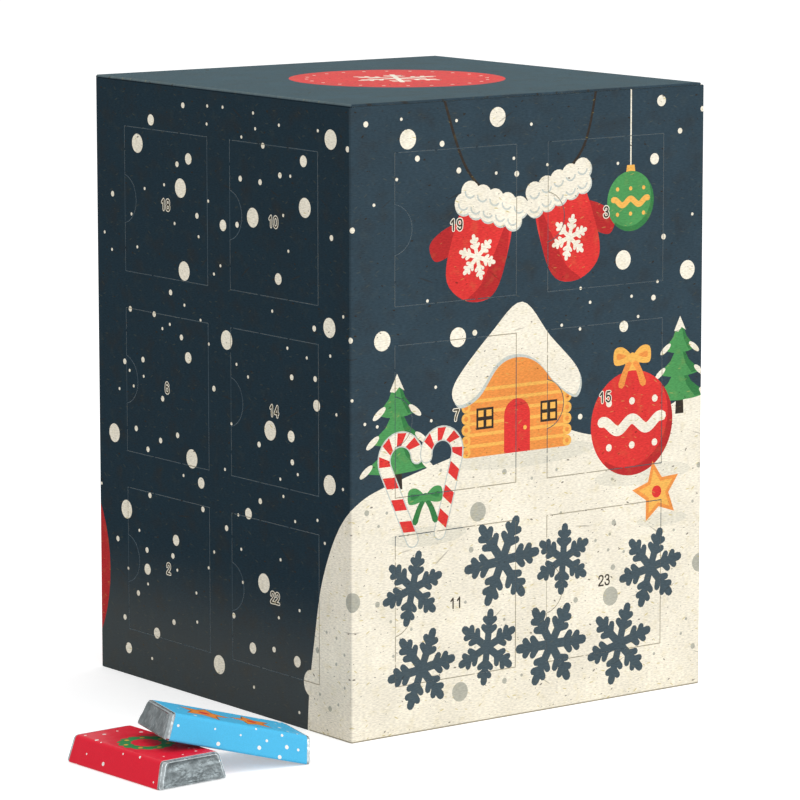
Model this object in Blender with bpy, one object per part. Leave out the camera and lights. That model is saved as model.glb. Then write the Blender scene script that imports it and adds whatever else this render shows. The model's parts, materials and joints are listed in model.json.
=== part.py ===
"""Advent calendar tower of die-cut board: four walls of six hinged doors, and a wrapped bar for each door.

Frame: metres, +Z up, the origin at the centre of the base's underside. The front wall faces -Y and the
lid's crease runs along the left wall, which faces -X.
"""

import math

import bmesh
import bpy
from mathutils import Matrix, Vector

# The carton
BOX_WIDTH = 0.120
BOX_HEIGHT = 0.168
BOARD = 0.0006
SEAT_GAP = 0.0003
OVERRUN = 0.002

# The wrapped bars: each is a little longer than its door is wide, and comes out aslant
BAR_LAP = 0.002
BAR_WIDTH = 0.0215
BAR_HEIGHT = 0.0071
BAR_TOP_WIDTH = 0.0177
BAR_END_SLOPE = 0.0010
BAR_EDGE_ROUND = 0.0012
BAR_END_ROUND = 0.0006
BAR_ROUND_STEPS = 2
BAND_STEP = 0.00015
FOIL_SHOWING = 0.0014

# The doors cut into each wall
COLUMNS = 2
ROWS = 3
COLUMN_GAP = 0.011
ROW_GAP = 0.0106
CUT_GAP = 0.0003
TAB_CHORD = 0.0131
TAB_DEPTH = 0.0056
TAB_ARC_STEPS = 10

# The pocket trays behind the walls
TRAY_SHEET = 0.0005
BAR_FRONT_ROOM = 0.0016
POCKET_PLAY = 0.0008
POCKET_RISE = 0.0010
TRAY_LIP = 0.0008
TRAY_SIDE_MARGIN = 0.0020
TRAY_CORNER_GAP = 0.0018

# The lid's tuck flap and the dust flaps
TUCK_DROP = 0.0099
TUCK_CLEARANCE = 0.0006
TUCK_SIDE_MARGIN = 0.0025
TUCK_CORNER = 0.0045
FLAP_DEPTH = 0.036
FLAP_TAPER = 0.012
FLAP_SIDE_MARGIN = 0.0020

# The two bars that lie in front of the left wall
LOW_BAR_BACK = 0.0089
LOW_BAR_YAW_DEG = 92.0
TOP_BAR_FOOT_OUT = 0.0192
TOP_BAR_FOOT_BACK = -0.0020
TOP_BAR_PAST_MIDDLE = 0.0028
TOP_BAR_YAW_DEG = -13.0

# The number printed on each door, row by row from the top as seen from outside
DOOR_NUMBERS = {
    "front": ((19, 3), (7, 15), (11, 23)),
    "right": ((8, 24), (13, 1), (20, 5)),
    "back": ((16, 9), (4, 21), (12, 17)),
    "left": ((18, 10), (6, 14), (2, 22)),
}
LOW_BAR_NUMBER = 1
TOP_BAR_NUMBER = 4

# Worked out from the sizes above
HALF_WIDTH = BOX_WIDTH / 2
WALL_INNER = BOARD + SEAT_GAP
WALL_BOTTOM = BOARD + SEAT_GAP
WALL_TOP = BOX_HEIGHT - BOARD - SEAT_GAP
POCKET_DEPTH = BAR_FRONT_ROOM + BAR_HEIGHT + SEAT_GAP
POCKET_BACK = WALL_INNER + POCKET_DEPTH
POCKET_SIDE = BAR_LAP / 2 + POCKET_PLAY
SIDE_MARGIN = POCKET_BACK + TRAY_SHEET + TRAY_CORNER_GAP + TRAY_SHEET + POCKET_SIDE
END_MARGIN = BOARD + TUCK_DROP + TUCK_CLEARANCE + TRAY_LIP + TRAY_SHEET + POCKET_RISE
DOOR_WIDTH = (BOX_WIDTH - 2 * SIDE_MARGIN - (COLUMNS - 1) * COLUMN_GAP) / COLUMNS
DOOR_HEIGHT = (BOX_HEIGHT - 2 * END_MARGIN - (ROWS - 1) * ROW_GAP) / ROWS
TRAY_TOP = BOX_HEIGHT - END_MARGIN + POCKET_RISE + TRAY_SHEET + TRAY_LIP
TAB_RADIUS = (TAB_CHORD**2 / 4 + TAB_DEPTH**2) / (2 * TAB_DEPTH)
BAR_LENGTH = DOOR_WIDTH + BAR_LAP
LOW_BAR_OUT = TOP_BAR_FOOT_OUT + BAR_LENGTH - TOP_BAR_PAST_MIDDLE

COLOURS = {
    "night_print": ("#3c4b5a", 0.80, 0.0),
    "lid_print": ("#58686f", 0.80, 0.0),
    "plain_board": ("#d8cfb8", 0.85, 0.0),
    "tray_pulp": ("#b9ad93", 0.90, 0.0),
    "band_red": ("#d6202f", 0.35, 0.0),
    "band_blue": ("#3fb0e8", 0.35, 0.0),
    "band_green": ("#3f8f55", 0.35, 0.0),
    "band_orange": ("#e8932f", 0.35, 0.0),
}
BAND_COLOURS = ("band_red", "band_green", "band_orange", "band_blue")


def clear_scene():
    """Remove whatever the scene holds."""
    for item in list(bpy.data.objects):
        bpy.data.objects.remove(item, do_unlink=True)


def linear(channel):
    """Turn one sRGB channel into linear light."""
    if channel <= 0.04045:
        return channel / 12.92
    return ((channel + 0.055) / 1.055) ** 2.4


def make_material(name):
    """Make the Principled material that COLOURS names."""
    code, roughness, metallic = COLOURS[name]
    channels = [int(code[i : i + 2], 16) / 255 for i in (1, 3, 5)]
    material = bpy.data.materials.new(name)
    material.use_nodes = True
    shader = material.node_tree.nodes["Principled BSDF"]
    shader.inputs["Base Color"].default_value = [linear(c) for c in channels] + [1.0]
    shader.inputs["Roughness"].default_value = roughness
    shader.inputs["Metallic"].default_value = metallic
    return material


def mesh_from(name, bm):
    """Close a bmesh into a named mesh with its faces pointing out."""
    bmesh.ops.recalc_face_normals(bm, faces=bm.faces)
    mesh = bpy.data.meshes.new(name)
    bm.to_mesh(mesh)
    bm.free()
    return mesh


def add_object(name, mesh, material=None, parent=None):
    """Put a mesh in the scene as a named object."""
    item = bpy.data.objects.new(name, mesh)
    bpy.context.scene.collection.objects.link(item)
    item.parent = parent
    if material and not mesh.materials:
        mesh.materials.append(material)
    return item


def add_prism(bm, outline, low, high, place):
    """Extrude a flat outline from depth low to depth high; place turns (a, b, depth) into a point."""
    near = [bm.verts.new(place(a, b, low)) for a, b in outline]
    far = [bm.verts.new(place(a, b, high)) for a, b in outline]
    bm.faces.new(near)
    bm.faces.new(far)
    for i in range(len(outline)):
        j = (i + 1) % len(outline)
        bm.faces.new((near[i], near[j], far[j], far[i]))


def on_wall(across, up, depth):
    """A point of the front wall: across from its left edge, up from the floor, depth in from outside."""
    return Vector((across - HALF_WIDTH, depth - HALF_WIDTH, up))


def flat(across, along, depth):
    """A point of a level board: depth is its height."""
    return Vector((across, along, depth))


def rectangle(left, bottom, right, top):
    """Corners of a rectangle, anticlockwise."""
    return [(left, bottom), (right, bottom), (right, top), (left, top)]


def evaluated_mesh(item):
    """Freeze an object's modifiers into a mesh of its own."""
    graph = bpy.context.evaluated_depsgraph_get()
    graph.update()
    return bpy.data.meshes.new_from_object(item.evaluated_get(graph), depsgraph=graph)


def combine(name, base_mesh, steps):
    """Cut or join meshes onto a base one, with exact Booleans, and return the finished mesh."""
    base = add_object(name + "_blank", base_mesh)
    helpers = [base]
    for operation, mesh in steps:
        cutter = add_object(name + "_cutter", mesh)
        cutter.hide_render = True
        cutter.display_type = "WIRE"
        helpers.append(cutter)
        boolean = base.modifiers.new(operation.lower(), "BOOLEAN")
        boolean.operation = operation
        boolean.solver = "EXACT"
        boolean.object = cutter
    finished = evaluated_mesh(base)
    finished.name = name
    for item in helpers:
        bpy.data.objects.remove(item, do_unlink=True)
    return finished


def door_corners():
    """The lower left corner of each door on a wall, with its row from the top and its column."""
    for row in range(ROWS):
        up = BOX_HEIGHT - END_MARGIN - DOOR_HEIGHT - row * (DOOR_HEIGHT + ROW_GAP)
        for column in range(COLUMNS):
            yield row, column, SIDE_MARGIN + column * (DOOR_WIDTH + COLUMN_GAP), up


def tab_arc(radius, edge):
    """The thumb tab's round edge, from bottom to top, where it stands out from the line across = edge.

    Distances across are from the cut at the wall's side, and the arc's middle height is 0.
    """
    centre = TAB_DEPTH - TAB_RADIUS
    reach = math.acos((edge - centre) / radius)
    turns = [reach * (2 * i / TAB_ARC_STEPS - 1) for i in range(TAB_ARC_STEPS + 1)]
    return [(centre + radius * math.cos(t), radius * math.sin(t)) for t in turns]


def opening_outline(left, bottom):
    """The hole that one door leaves in its wall, with the thumb tab left standing on the wall."""
    low_left = (left - CUT_GAP, bottom - CUT_GAP)
    high_right = (left + DOOR_WIDTH + CUT_GAP, bottom + DOOR_HEIGHT + CUT_GAP)
    corners = rectangle(*low_left, *high_right)
    middle = bottom + DOOR_HEIGHT / 2
    arc = [(low_left[0] + a, middle + b) for a, b in reversed(tab_arc(TAB_RADIUS, 0))]
    return corners + arc


def door_outline():
    """A door with its hinge edge at 0, its lower edge at 0 and a notch for the thumb tab."""
    corners = rectangle(-DOOR_WIDTH, 0, 0, DOOR_HEIGHT)
    cut_side = -DOOR_WIDTH - CUT_GAP
    notch = reversed(tab_arc(TAB_RADIUS + CUT_GAP, CUT_GAP))
    return corners + [(cut_side + a, DOOR_HEIGHT / 2 + b) for a, b in notch]


def wall_mesh():
    """One wall: it starts at its left corner and stops where the next wall's board begins."""
    plate = bmesh.new()
    outline = rectangle(0, WALL_BOTTOM, BOX_WIDTH - WALL_INNER, WALL_TOP)
    add_prism(plate, outline, 0, BOARD, on_wall)
    holes = bmesh.new()
    for _, _, left, bottom in door_corners():
        add_prism(holes, opening_outline(left, bottom), -OVERRUN, BOARD + OVERRUN, on_wall)
    return combine("wall", mesh_from("wall_plate", plate), [("DIFFERENCE", mesh_from("holes", holes))])


def door_mesh():
    """A door in its own frame: the hinge axis is the upright line at 0, on the outer surface."""
    bm = bmesh.new()
    add_prism(bm, door_outline(), 0, BOARD, lambda a, b, depth: Vector((a, depth, b)))
    return mesh_from("door", bm)


def pocket_outline(left, bottom, wall=0):
    """A pocket's outline behind a door, grown by the thickness of its own walls."""
    side = POCKET_SIDE + wall
    rise = POCKET_RISE + wall
    return rectangle(left - side, bottom - rise, left + DOOR_WIDTH + side, bottom + DOOR_HEIGHT + rise)


def tray_mesh():
    """The tray behind one wall: a flange that stands on the base, with six pockets pressed into it."""
    flange = bmesh.new()
    outline = rectangle(TRAY_SIDE_MARGIN, WALL_BOTTOM, BOX_WIDTH - TRAY_SIDE_MARGIN, TRAY_TOP)
    add_prism(flange, outline, WALL_INNER, WALL_INNER + TRAY_SHEET, on_wall)
    shells = bmesh.new()
    hollows = bmesh.new()
    for _, _, left, bottom in door_corners():
        shell = pocket_outline(left, bottom, TRAY_SHEET)
        add_prism(shells, shell, WALL_INNER + TRAY_SHEET / 2, POCKET_BACK + TRAY_SHEET, on_wall)
        add_prism(hollows, pocket_outline(left, bottom), WALL_INNER - OVERRUN, POCKET_BACK, on_wall)
    steps = [("UNION", mesh_from("shells", shells)), ("DIFFERENCE", mesh_from("hollows", hollows))]
    return combine("tray", mesh_from("flange", flange), steps)


def lid_mesh():
    """The lid in its own frame: its crease is the Y axis, and its tuck flap hangs inside the right wall."""
    lid = bmesh.new()
    add_prism(lid, rectangle(0, -HALF_WIDTH, BOX_WIDTH, HALF_WIDTH), -BOARD, 0, flat)
    root = BOX_WIDTH - WALL_INNER
    lean = TUCK_DROP**2 / (2 * root) + SEAT_GAP
    half = HALF_WIDTH - TUCK_SIDE_MARGIN
    outline = [
        (-half, 0),
        (half, 0),
        (half, TUCK_CORNER - TUCK_DROP),
        (half - TUCK_CORNER, -TUCK_DROP),
        (TUCK_CORNER - half, -TUCK_DROP),
        (-half, TUCK_CORNER - TUCK_DROP),
    ]

    def on_tuck(along, up, depth):
        """A point of the tuck flap, which leans in from the wall towards its tip."""
        return Vector((root - depth + lean * up / TUCK_DROP, along, up - BOARD / 2))

    tuck = bmesh.new()
    add_prism(tuck, outline, 0, BOARD, on_tuck)
    return combine("lid", mesh_from("lid_plate", lid), [("UNION", mesh_from("tuck", tuck))])


def dust_flap_mesh():
    """A dust flap in its own frame: its crease is the X axis and it reaches along +Y, just under 0."""
    left = -HALF_WIDTH + WALL_INNER + FLAP_SIDE_MARGIN
    right = HALF_WIDTH - WALL_INNER - FLAP_SIDE_MARGIN - BOARD
    outline = [(left, 0), (right, 0), (right - FLAP_TAPER, FLAP_DEPTH), (left + FLAP_TAPER, FLAP_DEPTH)]
    bm = bmesh.new()
    add_prism(bm, outline, -BOARD, 0, flat)
    return mesh_from("dust_flap", bm)


def base_mesh():
    """The base panel, level under the walls."""
    bm = bmesh.new()
    add_prism(bm, rectangle(-HALF_WIDTH, -HALF_WIDTH, HALF_WIDTH, HALF_WIDTH), 0, BOARD, flat)
    return mesh_from("base", bm)


def bar_section(inset):
    """A bar's cross-section as (across, up) points: wide below, narrow above, with round upper edges."""
    low = inset
    high = BAR_HEIGHT - inset
    foot = BAR_WIDTH / 2 - inset
    shoulder = BAR_TOP_WIDTH / 2 - inset
    lean = math.atan2(BAR_WIDTH - BAR_TOP_WIDTH, 2 * BAR_HEIGHT)
    setback = BAR_EDGE_ROUND * math.tan((math.pi / 2 - lean) / 2)
    centre = (shoulder - setback, high - BAR_EDGE_ROUND)
    right = [(foot, low)]
    for i in range(BAR_ROUND_STEPS + 1):
        turn = lean + (math.pi / 2 - lean) * i / BAR_ROUND_STEPS
        across = centre[0] + BAR_EDGE_ROUND * math.cos(turn)
        right.append((across, centre[1] + BAR_EDGE_ROUND * math.sin(turn)))
    return right + [(-a, up) for a, up in reversed(right)]


def bar_mesh(name):
    """A wrapped bar, base down, its length along X: sloped foil ends and a paper band round its middle."""
    end = BAR_LENGTH / 2
    band = end - FOIL_SHOWING
    stations = [
        (end, BAND_STEP + BAR_END_ROUND, BAR_END_SLOPE),
        (end - BAR_END_ROUND, BAND_STEP, BAR_END_SLOPE),
        (band, BAND_STEP, 0),
        (band, 0, 0),
    ]
    half = [(x, bar_section(inset), slope) for x, inset, slope in stations]
    whole = half + [(-x, section, -slope) for x, section, slope in reversed(half)]
    bm = bmesh.new()
    rings = []
    for x, section, slope in whole:
        ring = [bm.verts.new((x - slope * up / BAR_HEIGHT, across, up)) for across, up in section]
        rings.append(ring)
    for first, second in zip(rings, rings[1:]):
        for i in range(len(first)):
            j = (i + 1) % len(first)
            bm.faces.new((first[i], first[j], second[j], second[i]))
    bm.faces.new(rings[0])
    bm.faces.new(rings[-1])
    return mesh_from(name, bm)


def face_empties():
    """One empty at the middle of the box for each wall, turned to face the way the wall does."""
    empties = {}
    for quarter_turns, name in enumerate(DOOR_NUMBERS):
        empty = add_object(name + "_face", None)
        empty.rotation_euler.z = quarter_turns * math.pi / 2
        empties[name] = empty
    return empties


def build_faces(empties, materials):
    """Walls, trays and doors: each wall repeats the same three meshes."""
    wall = wall_mesh()
    tray = tray_mesh()
    door = door_mesh()
    for face, empty in empties.items():
        add_object(face + "_panel", wall, materials["night_print"], empty)
        add_object("tray_" + face, tray, materials["tray_pulp"], empty)
        for row, column, left, bottom in door_corners():
            number = DOOR_NUMBERS[face][row][column]
            hinged = add_object(f"door_{number:02d}", door, materials["night_print"], empty)
            hinged.location = on_wall(left + DOOR_WIDTH, bottom, 0)


def build_bars(empties, materials):
    """A bar in each pocket, lying on its long side at the pocket's back, apart from the two set out."""
    meshes = {name: bar_mesh("bar_" + name) for name in BAND_COLOURS}
    for face, empty in empties.items():
        for row, column, left, bottom in door_corners():
            number = DOOR_NUMBERS[face][row][column]
            if number in (LOW_BAR_NUMBER, TOP_BAR_NUMBER):
                continue
            colour = BAND_COLOURS[number % len(BAND_COLOURS)]
            bar = add_object(f"chocolate_bar_{number:02d}", meshes[colour], materials[colour], empty)
            seat = bottom - POCKET_RISE + SEAT_GAP + BAR_WIDTH / 2
            bar.location = on_wall(left + DOOR_WIDTH / 2, seat, POCKET_BACK - SEAT_GAP)
            bar.rotation_euler.x = math.pi / 2
    place_loose_bars(meshes, materials)


def unit(yaw):
    """The level unit vector at an angle from +X."""
    return Vector((math.cos(yaw), math.sin(yaw)))


def place_loose_bars(meshes, materials):
    """One bar flat on the floor left of the box, and one that leans on it with its foot on the floor."""
    low = add_object(f"chocolate_bar_{LOW_BAR_NUMBER:02d}", meshes["band_red"], materials["band_red"])
    low.location = (-HALF_WIDTH - LOW_BAR_OUT, LOW_BAR_BACK - HALF_WIDTH, 0)
    low.rotation_euler.z = math.radians(LOW_BAR_YAW_DEG)

    low_side = unit(math.radians(LOW_BAR_YAW_DEG) - math.pi / 2)
    low_edge = low.location.xy + low_side * BAR_TOP_WIDTH / 2
    yaw = math.radians(TOP_BAR_YAW_DEG)
    axis = unit(yaw)
    near_side = unit(yaw - math.pi / 2)
    foot = Vector((-HALF_WIDTH - TOP_BAR_FOOT_OUT, TOP_BAR_FOOT_BACK - HALF_WIDTH))
    run = (foot + near_side * BAR_WIDTH / 2 - low_edge).dot(low_side) / axis.dot(low_side)
    pitch = math.atan2(BAR_HEIGHT + SEAT_GAP, run)

    mesh = meshes["band_blue"]
    top = add_object(f"chocolate_bar_{TOP_BAR_NUMBER:02d}", mesh, materials["band_blue"])
    tilt = Matrix.Rotation(yaw, 3, "Z") @ Matrix.Rotation(pitch, 3, "Y")
    lowest = min((tilt @ vertex.co).z for vertex in mesh.vertices)
    centre = foot - axis * (BAR_LENGTH / 2 * math.cos(pitch))
    top.rotation_euler = tilt.to_euler()
    top.location = (centre.x, centre.y, -lowest)


def build_ends(materials):
    """The lid, the two dust flaps under it and the base."""
    lid = add_object("lid", lid_mesh(), materials["lid_print"])
    lid.location = (-HALF_WIDTH, 0, BOX_HEIGHT)
    flap = dust_flap_mesh()
    crease = HALF_WIDTH - WALL_INNER
    front = add_object("dust_flap_front", flap, materials["plain_board"])
    front.location = (0, -crease, WALL_TOP)
    back_mesh = flap.copy()
    back_mesh.transform(Matrix.Scale(-1, 4, (0, 1, 0)))
    back_mesh.flip_normals()
    back = add_object("dust_flap_back", back_mesh, materials["plain_board"])
    back.location = (0, crease, WALL_TOP)
    add_object("base_panel", base_mesh(), materials["night_print"])


def main():
    """Build the whole calendar."""
    clear_scene()
    materials = {name: make_material(name) for name in COLOURS}
    empties = face_empties()
    build_faces(empties, materials)
    build_bars(empties, materials)
    build_ends(materials)


main()
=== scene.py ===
"""Advent calendar tower: speckled printed board, numbered doors, pocket trays, and wrapped bars.

Places in the room are in metres, and other lengths in millimetres where nothing else is said. Colour codes
are sRGB hex. The print is drawn on one strip that runs round the walls: along from the front wall's left
corner, and up from the floor.
"""

import json
import logging
import math
import random
from dataclasses import dataclass, field
from enum import Enum
from functools import cache
from typing import Callable, Iterable, Sequence

import bmesh
import bpy
import numpy as np
from bpy.types import ID, Material, Mesh, Node, NodeSocket, NodeTree, Object
from mathutils import Matrix, Vector, geometry, noise


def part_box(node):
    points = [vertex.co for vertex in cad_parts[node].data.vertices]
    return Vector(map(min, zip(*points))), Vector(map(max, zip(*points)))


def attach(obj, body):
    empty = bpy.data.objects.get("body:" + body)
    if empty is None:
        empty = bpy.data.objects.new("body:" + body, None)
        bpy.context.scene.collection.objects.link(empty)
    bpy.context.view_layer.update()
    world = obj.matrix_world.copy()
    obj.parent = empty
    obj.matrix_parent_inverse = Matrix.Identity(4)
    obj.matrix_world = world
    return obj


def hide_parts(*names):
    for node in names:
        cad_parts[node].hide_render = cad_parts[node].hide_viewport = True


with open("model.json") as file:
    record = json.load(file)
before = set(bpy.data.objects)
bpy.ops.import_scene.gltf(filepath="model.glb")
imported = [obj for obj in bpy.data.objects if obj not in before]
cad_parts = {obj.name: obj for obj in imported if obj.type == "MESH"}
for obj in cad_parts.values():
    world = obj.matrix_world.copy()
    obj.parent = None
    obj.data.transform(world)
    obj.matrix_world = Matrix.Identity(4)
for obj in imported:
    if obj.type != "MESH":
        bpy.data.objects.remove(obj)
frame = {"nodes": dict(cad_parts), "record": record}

log = logging.getLogger("calendar")

MM = 0.001
FULL_TURN = 2 * math.pi
DOORS = 24

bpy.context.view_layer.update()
WALL_NODES = ("front", "right", "back", "left")
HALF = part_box("base_panel")[1].x
WIDE_MM = 2 * HALF / MM
TALL_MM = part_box("lid")[1].z / MM
STRIP_MM = len(WALL_NODES) * WIDE_MM

Loop = np.ndarray
Point = tuple[float, float]


@dataclass(frozen=True)
class InkRecipe:
    """How one ink prints on the speckled board.

    Attributes:
        code: the printed colour.
        stain: how far the straw-coloured stains of the board show through, 0 to 1.
        fleck: how dark its flecks show, 0 to 1.
        smudge: how dark its soft uneven patches are, 0 to 1.
        rubbed: how far it is lightened towards the plain board near the floor, as painted light from the
            floor, 0 to 1.
    """

    code: str
    stain: float
    fleck: float
    smudge: float = 0.0
    rubbed: float = 0.0


class Ink(Enum):
    """The inks of the print; the plain board and its cut edge count as inks too."""

    NIGHT = InkRecipe("#33434d", 0.02, 0.85, 0.36)
    # A darker navy for the back and left walls: painted shade for the sides away from the key lamp, with
    # painted light near their foot.
    NIGHT_DEEP = InkRecipe("#20313b", 0.02, 0.85, 0.36, 0.06)
    # A lighter navy over the lid's fold: a painted highlight.
    WORN = InkRecipe("#5a696d", 0.10, 0.50)
    FROST_BLUE = InkRecipe("#48565d", 0.03, 0.45)
    SNOW = InkRecipe("#eee7d5", 0.30, 0.80)
    SNOW_SOFT = InkRecipe("#e1dccb", 0.30, 0.70)
    SNOW_SHADE = InkRecipe("#c3c8c1", 0.25, 0.55)
    FLAKE_GREY = InkRecipe("#b2b1a4", 0.30, 0.50)
    RED = InkRecipe("#d83a38", 0.14, 0.55)
    RED_DEEP = InkRecipe("#b52f30", 0.12, 0.50)
    GREEN = InkRecipe("#4f9457", 0.14, 0.55)
    GREEN_DEEP = InkRecipe("#3a7a47", 0.12, 0.50)
    ORANGE = InkRecipe("#e8924a", 0.18, 0.55)
    AMBER = InkRecipe("#f0b45a", 0.18, 0.55)
    SOOT = InkRecipe("#38322d", 0.10, 0.35)
    FIGURE = InkRecipe("#3f3a33", 0.08, 0.20)
    PLAIN = InkRecipe("#ddd3bb", 0.60, 0.80)
    CUT = InkRecipe("#4e5d66", 0.02, 0.20)
    # Also used for the grey strip along the walls' foot, which is painted shade.
    CUT_PALE = InkRecipe("#a8a08b", 0.20, 0.20)


def linear(code: str) -> tuple[float, float, float, float]:
    """Turn a colour code into linear light.

    Args:
        code: sRGB hex, such as "#3b4b58".

    Returns:
        Red, green, blue and an alpha of 1.
    """
    channels = [int(code[i : i + 2], 16) / 255 for i in (1, 3, 5)]
    light = [c / 12.92 if c <= 0.04045 else ((c + 0.055) / 1.055) ** 2.4 for c in channels]
    return (*light, 1.0)


def between(first: Sequence[float], second: Sequence[float], share: float) -> tuple[float, ...]:
    """Mix two linear colours: a share of 0 is the first one."""
    return tuple(a + (b - a) * share for a, b in zip(first, second))


def add_node(tree: NodeTree, kind: str, sockets: dict | None = None, **settings) -> Node:
    """Add a node with its settings and links.

    Args:
        tree: the node tree that gets it.
        kind: the node's type name.
        sockets: what goes into each input, by name or number: a plain value, or the output socket of a node.
        **settings: the node's own options.

    Returns:
        The new node.
    """
    made = tree.nodes.new(kind)
    for name, value in settings.items():
        setattr(made, name, value)
    for key, value in (sockets or {}).items():
        if isinstance(value, NodeSocket):
            tree.links.new(value, made.inputs[key])
        else:
            made.inputs[key].default_value = value
    return made


def start_material(name: str) -> tuple[Material, NodeTree]:
    """Make an empty node material.

    Args:
        name: what the material is and how it was made.

    Returns:
        The material and its node tree.
    """
    material = bpy.data.materials.new(name)
    material.use_nodes = True
    material.node_tree.nodes.clear()
    return material, material.node_tree


def cloud(
    tree: NodeTree, place: NodeSocket, size: float, span: Point, window: Point = (0.3, 0.7),
    detail: float = 3.0,
) -> NodeSocket:
    """Add soft noise, spread over a span of values.

    Args:
        tree: the material's node tree.
        place: where on the sheet.
        size: the breadth of its patches, in the place's own unit.
        span: the lowest and highest value that it gives.
        window: the noise values that these two stand for.
        detail: how many finer layers it has.

    Returns:
        The value.
    """
    noise_node = add_node(tree, "ShaderNodeTexNoise", {"Vector": place, "Scale": 1 / size, "Detail": detail})
    ends = {"From Min": window[0], "From Max": window[1], "To Min": span[0], "To Max": span[1]}
    spread = {"Value": noise_node.outputs[0]} | ends
    return add_node(tree, "ShaderNodeMapRange", spread).outputs[0]


def tinted(tree: NodeTree, code: str, shades: Sequence[NodeSocket]) -> NodeSocket:
    """Multiply a colour by one value after another.

    Args:
        tree: the material's node tree.
        code: the colour.
        shades: the values.

    Returns:
        The shaded colour.
    """
    colour = linear(code)[:3]
    for shade in shades:
        scaled = {0: colour, "Scale": shade}
        colour = add_node(tree, "ShaderNodeVectorMath", scaled, operation="SCALE").outputs[0]
    return colour


def finish_material(
    tree: NodeTree, colour: NodeSocket, relief: Sequence[tuple[NodeSocket, float, float]], surface: dict
) -> None:
    """Add the bumps, the surface and the output.

    Args:
        tree: the material's node tree.
        colour: the base colour.
        relief: for each bump its height, its depth and its strength.
        surface: the surface's other settings.
    """
    normal = None
    for height, depth, strength in relief:
        sockets = {"Height": height, "Distance": depth * MM, "Strength": strength}
        if normal:
            sockets["Normal"] = normal
        normal = add_node(tree, "ShaderNodeBump", sockets).outputs[0]
    shader = add_node(tree, "ShaderNodeBsdfPrincipled", {"Base Color": colour, "Normal": normal} | surface)
    add_node(tree, "ShaderNodeOutputMaterial", {"Surface": shader.outputs[0]})


@dataclass(frozen=True)
class Scatter:
    """Turned ovals, one to a cell, as fibres and flecks lie in board.

    Attributes:
        cell_mm: the mean distance between neighbours.
        reach_mm: half the length and half the width of the largest one.
        share: the share of cells that hold one.
        shift: moves the pattern, so that two of them don't coincide.
        swing: how far they are turned from level, in radians.
        smallest: the size of the smallest one, as a share of the largest.
        solid: the share of an oval's reach from which it fades out.
    """

    cell_mm: float
    reach_mm: Point
    share: float
    shift: float
    swing: float = math.pi
    smallest: float = 0.35
    solid: float = 0.6

    def mask(self, tree: NodeTree, place: NodeSocket) -> NodeSocket:
        """Scatter them over a sheet.

        Args:
            tree: the material's node tree.
            place: the flat place on the sheet.

        Returns:
            A mask that is 1 inside an oval.
        """
        def sum_up(kind: str, sockets: dict, operation: str) -> NodeSocket:
            """Add a sum of the kind and give its first output."""
            return add_node(tree, kind, sockets, operation=operation).outputs[0]

        moved = sum_up("ShaderNodeVectorMath", {0: place, 1: (self.shift, self.shift, 0)}, "ADD")
        seek = {"Vector": moved, "Scale": 1 / self.cell_mm}
        cells = add_node(tree, "ShaderNodeTexVoronoi", seek, voronoi_dimensions="2D")
        apart = sum_up("ShaderNodeVectorMath", {0: moved, 1: cells.outputs["Position"]}, "SUBTRACT")
        dice = add_node(tree, "ShaderNodeSeparateColor", {"Color": cells.outputs["Color"]})
        lean = {0: dice.outputs[0], 1: self.swing, 2: -self.swing / 2}
        spin = {"Vector": apart, "Angle": sum_up("ShaderNodeMath", lean, "MULTIPLY_ADD")}
        turned = add_node(tree, "ShaderNodeVectorRotate", spin, rotation_type="Z_AXIS")
        shape = (1 / self.reach_mm[0], 1 / self.reach_mm[1], 0)
        squeezed = sum_up("ShaderNodeVectorMath", {0: turned.outputs[0], 1: shape}, "MULTIPLY")
        far = add_node(tree, "ShaderNodeVectorMath", {0: squeezed}, operation="LENGTH")
        sizes = {"Value": dice.outputs[2], "To Min": self.smallest, "To Max": 1.0}
        size = add_node(tree, "ShaderNodeMapRange", sizes)
        ratio = sum_up("ShaderNodeMath", {0: far.outputs["Value"], 1: size.outputs[0]}, "DIVIDE")
        fade = {"Value": ratio, "From Min": self.solid, "From Max": 1.0, "To Min": 1.0, "To Max": 0.0}
        inside = add_node(tree, "ShaderNodeMapRange", fade, interpolation_type="SMOOTHSTEP")
        chosen = sum_up("ShaderNodeMath", {0: dice.outputs[1], 1: self.share}, "LESS_THAN")
        return sum_up("ShaderNodeMath", {0: inside.outputs[0], 1: chosen}, "MULTIPLY")


@dataclass(frozen=True)
class LayRecipe:
    """How the dark flecks lie on a sheet.

    Attributes:
        word: the word for it in a material's name.
        bold: how much stronger the long flecks and the relief are drawn than on a wall.
        large, small, blades: its large, small and long flecks.
    """

    word: str
    bold: float
    large: Scatter
    small: Scatter
    blades: Scatter


class Lay(Enum):
    """Which way a sheet lies. A level one is seen at a low angle, so its flecks are drawn larger."""

    UPRIGHT = LayRecipe(
        "upright", 1.0, Scatter(6.5, (0.62, 0.26), 0.5, 31.7, 1.4),
        Scatter(2.7, (0.30, 0.14), 0.35, 53.1, 1.4), Scatter(19.0, (3.6, 0.28), 0.6, 71.9, 1.4),
    )
    LEVEL = LayRecipe(
        "level", 1.5, Scatter(6.5, (0.93, 0.39), 0.5, 31.7), Scatter(4.05, (0.45, 0.21), 0.35, 53.1),
        Scatter(11.0, (3.6, 0.42), 0.6, 71.9),
    )


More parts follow.
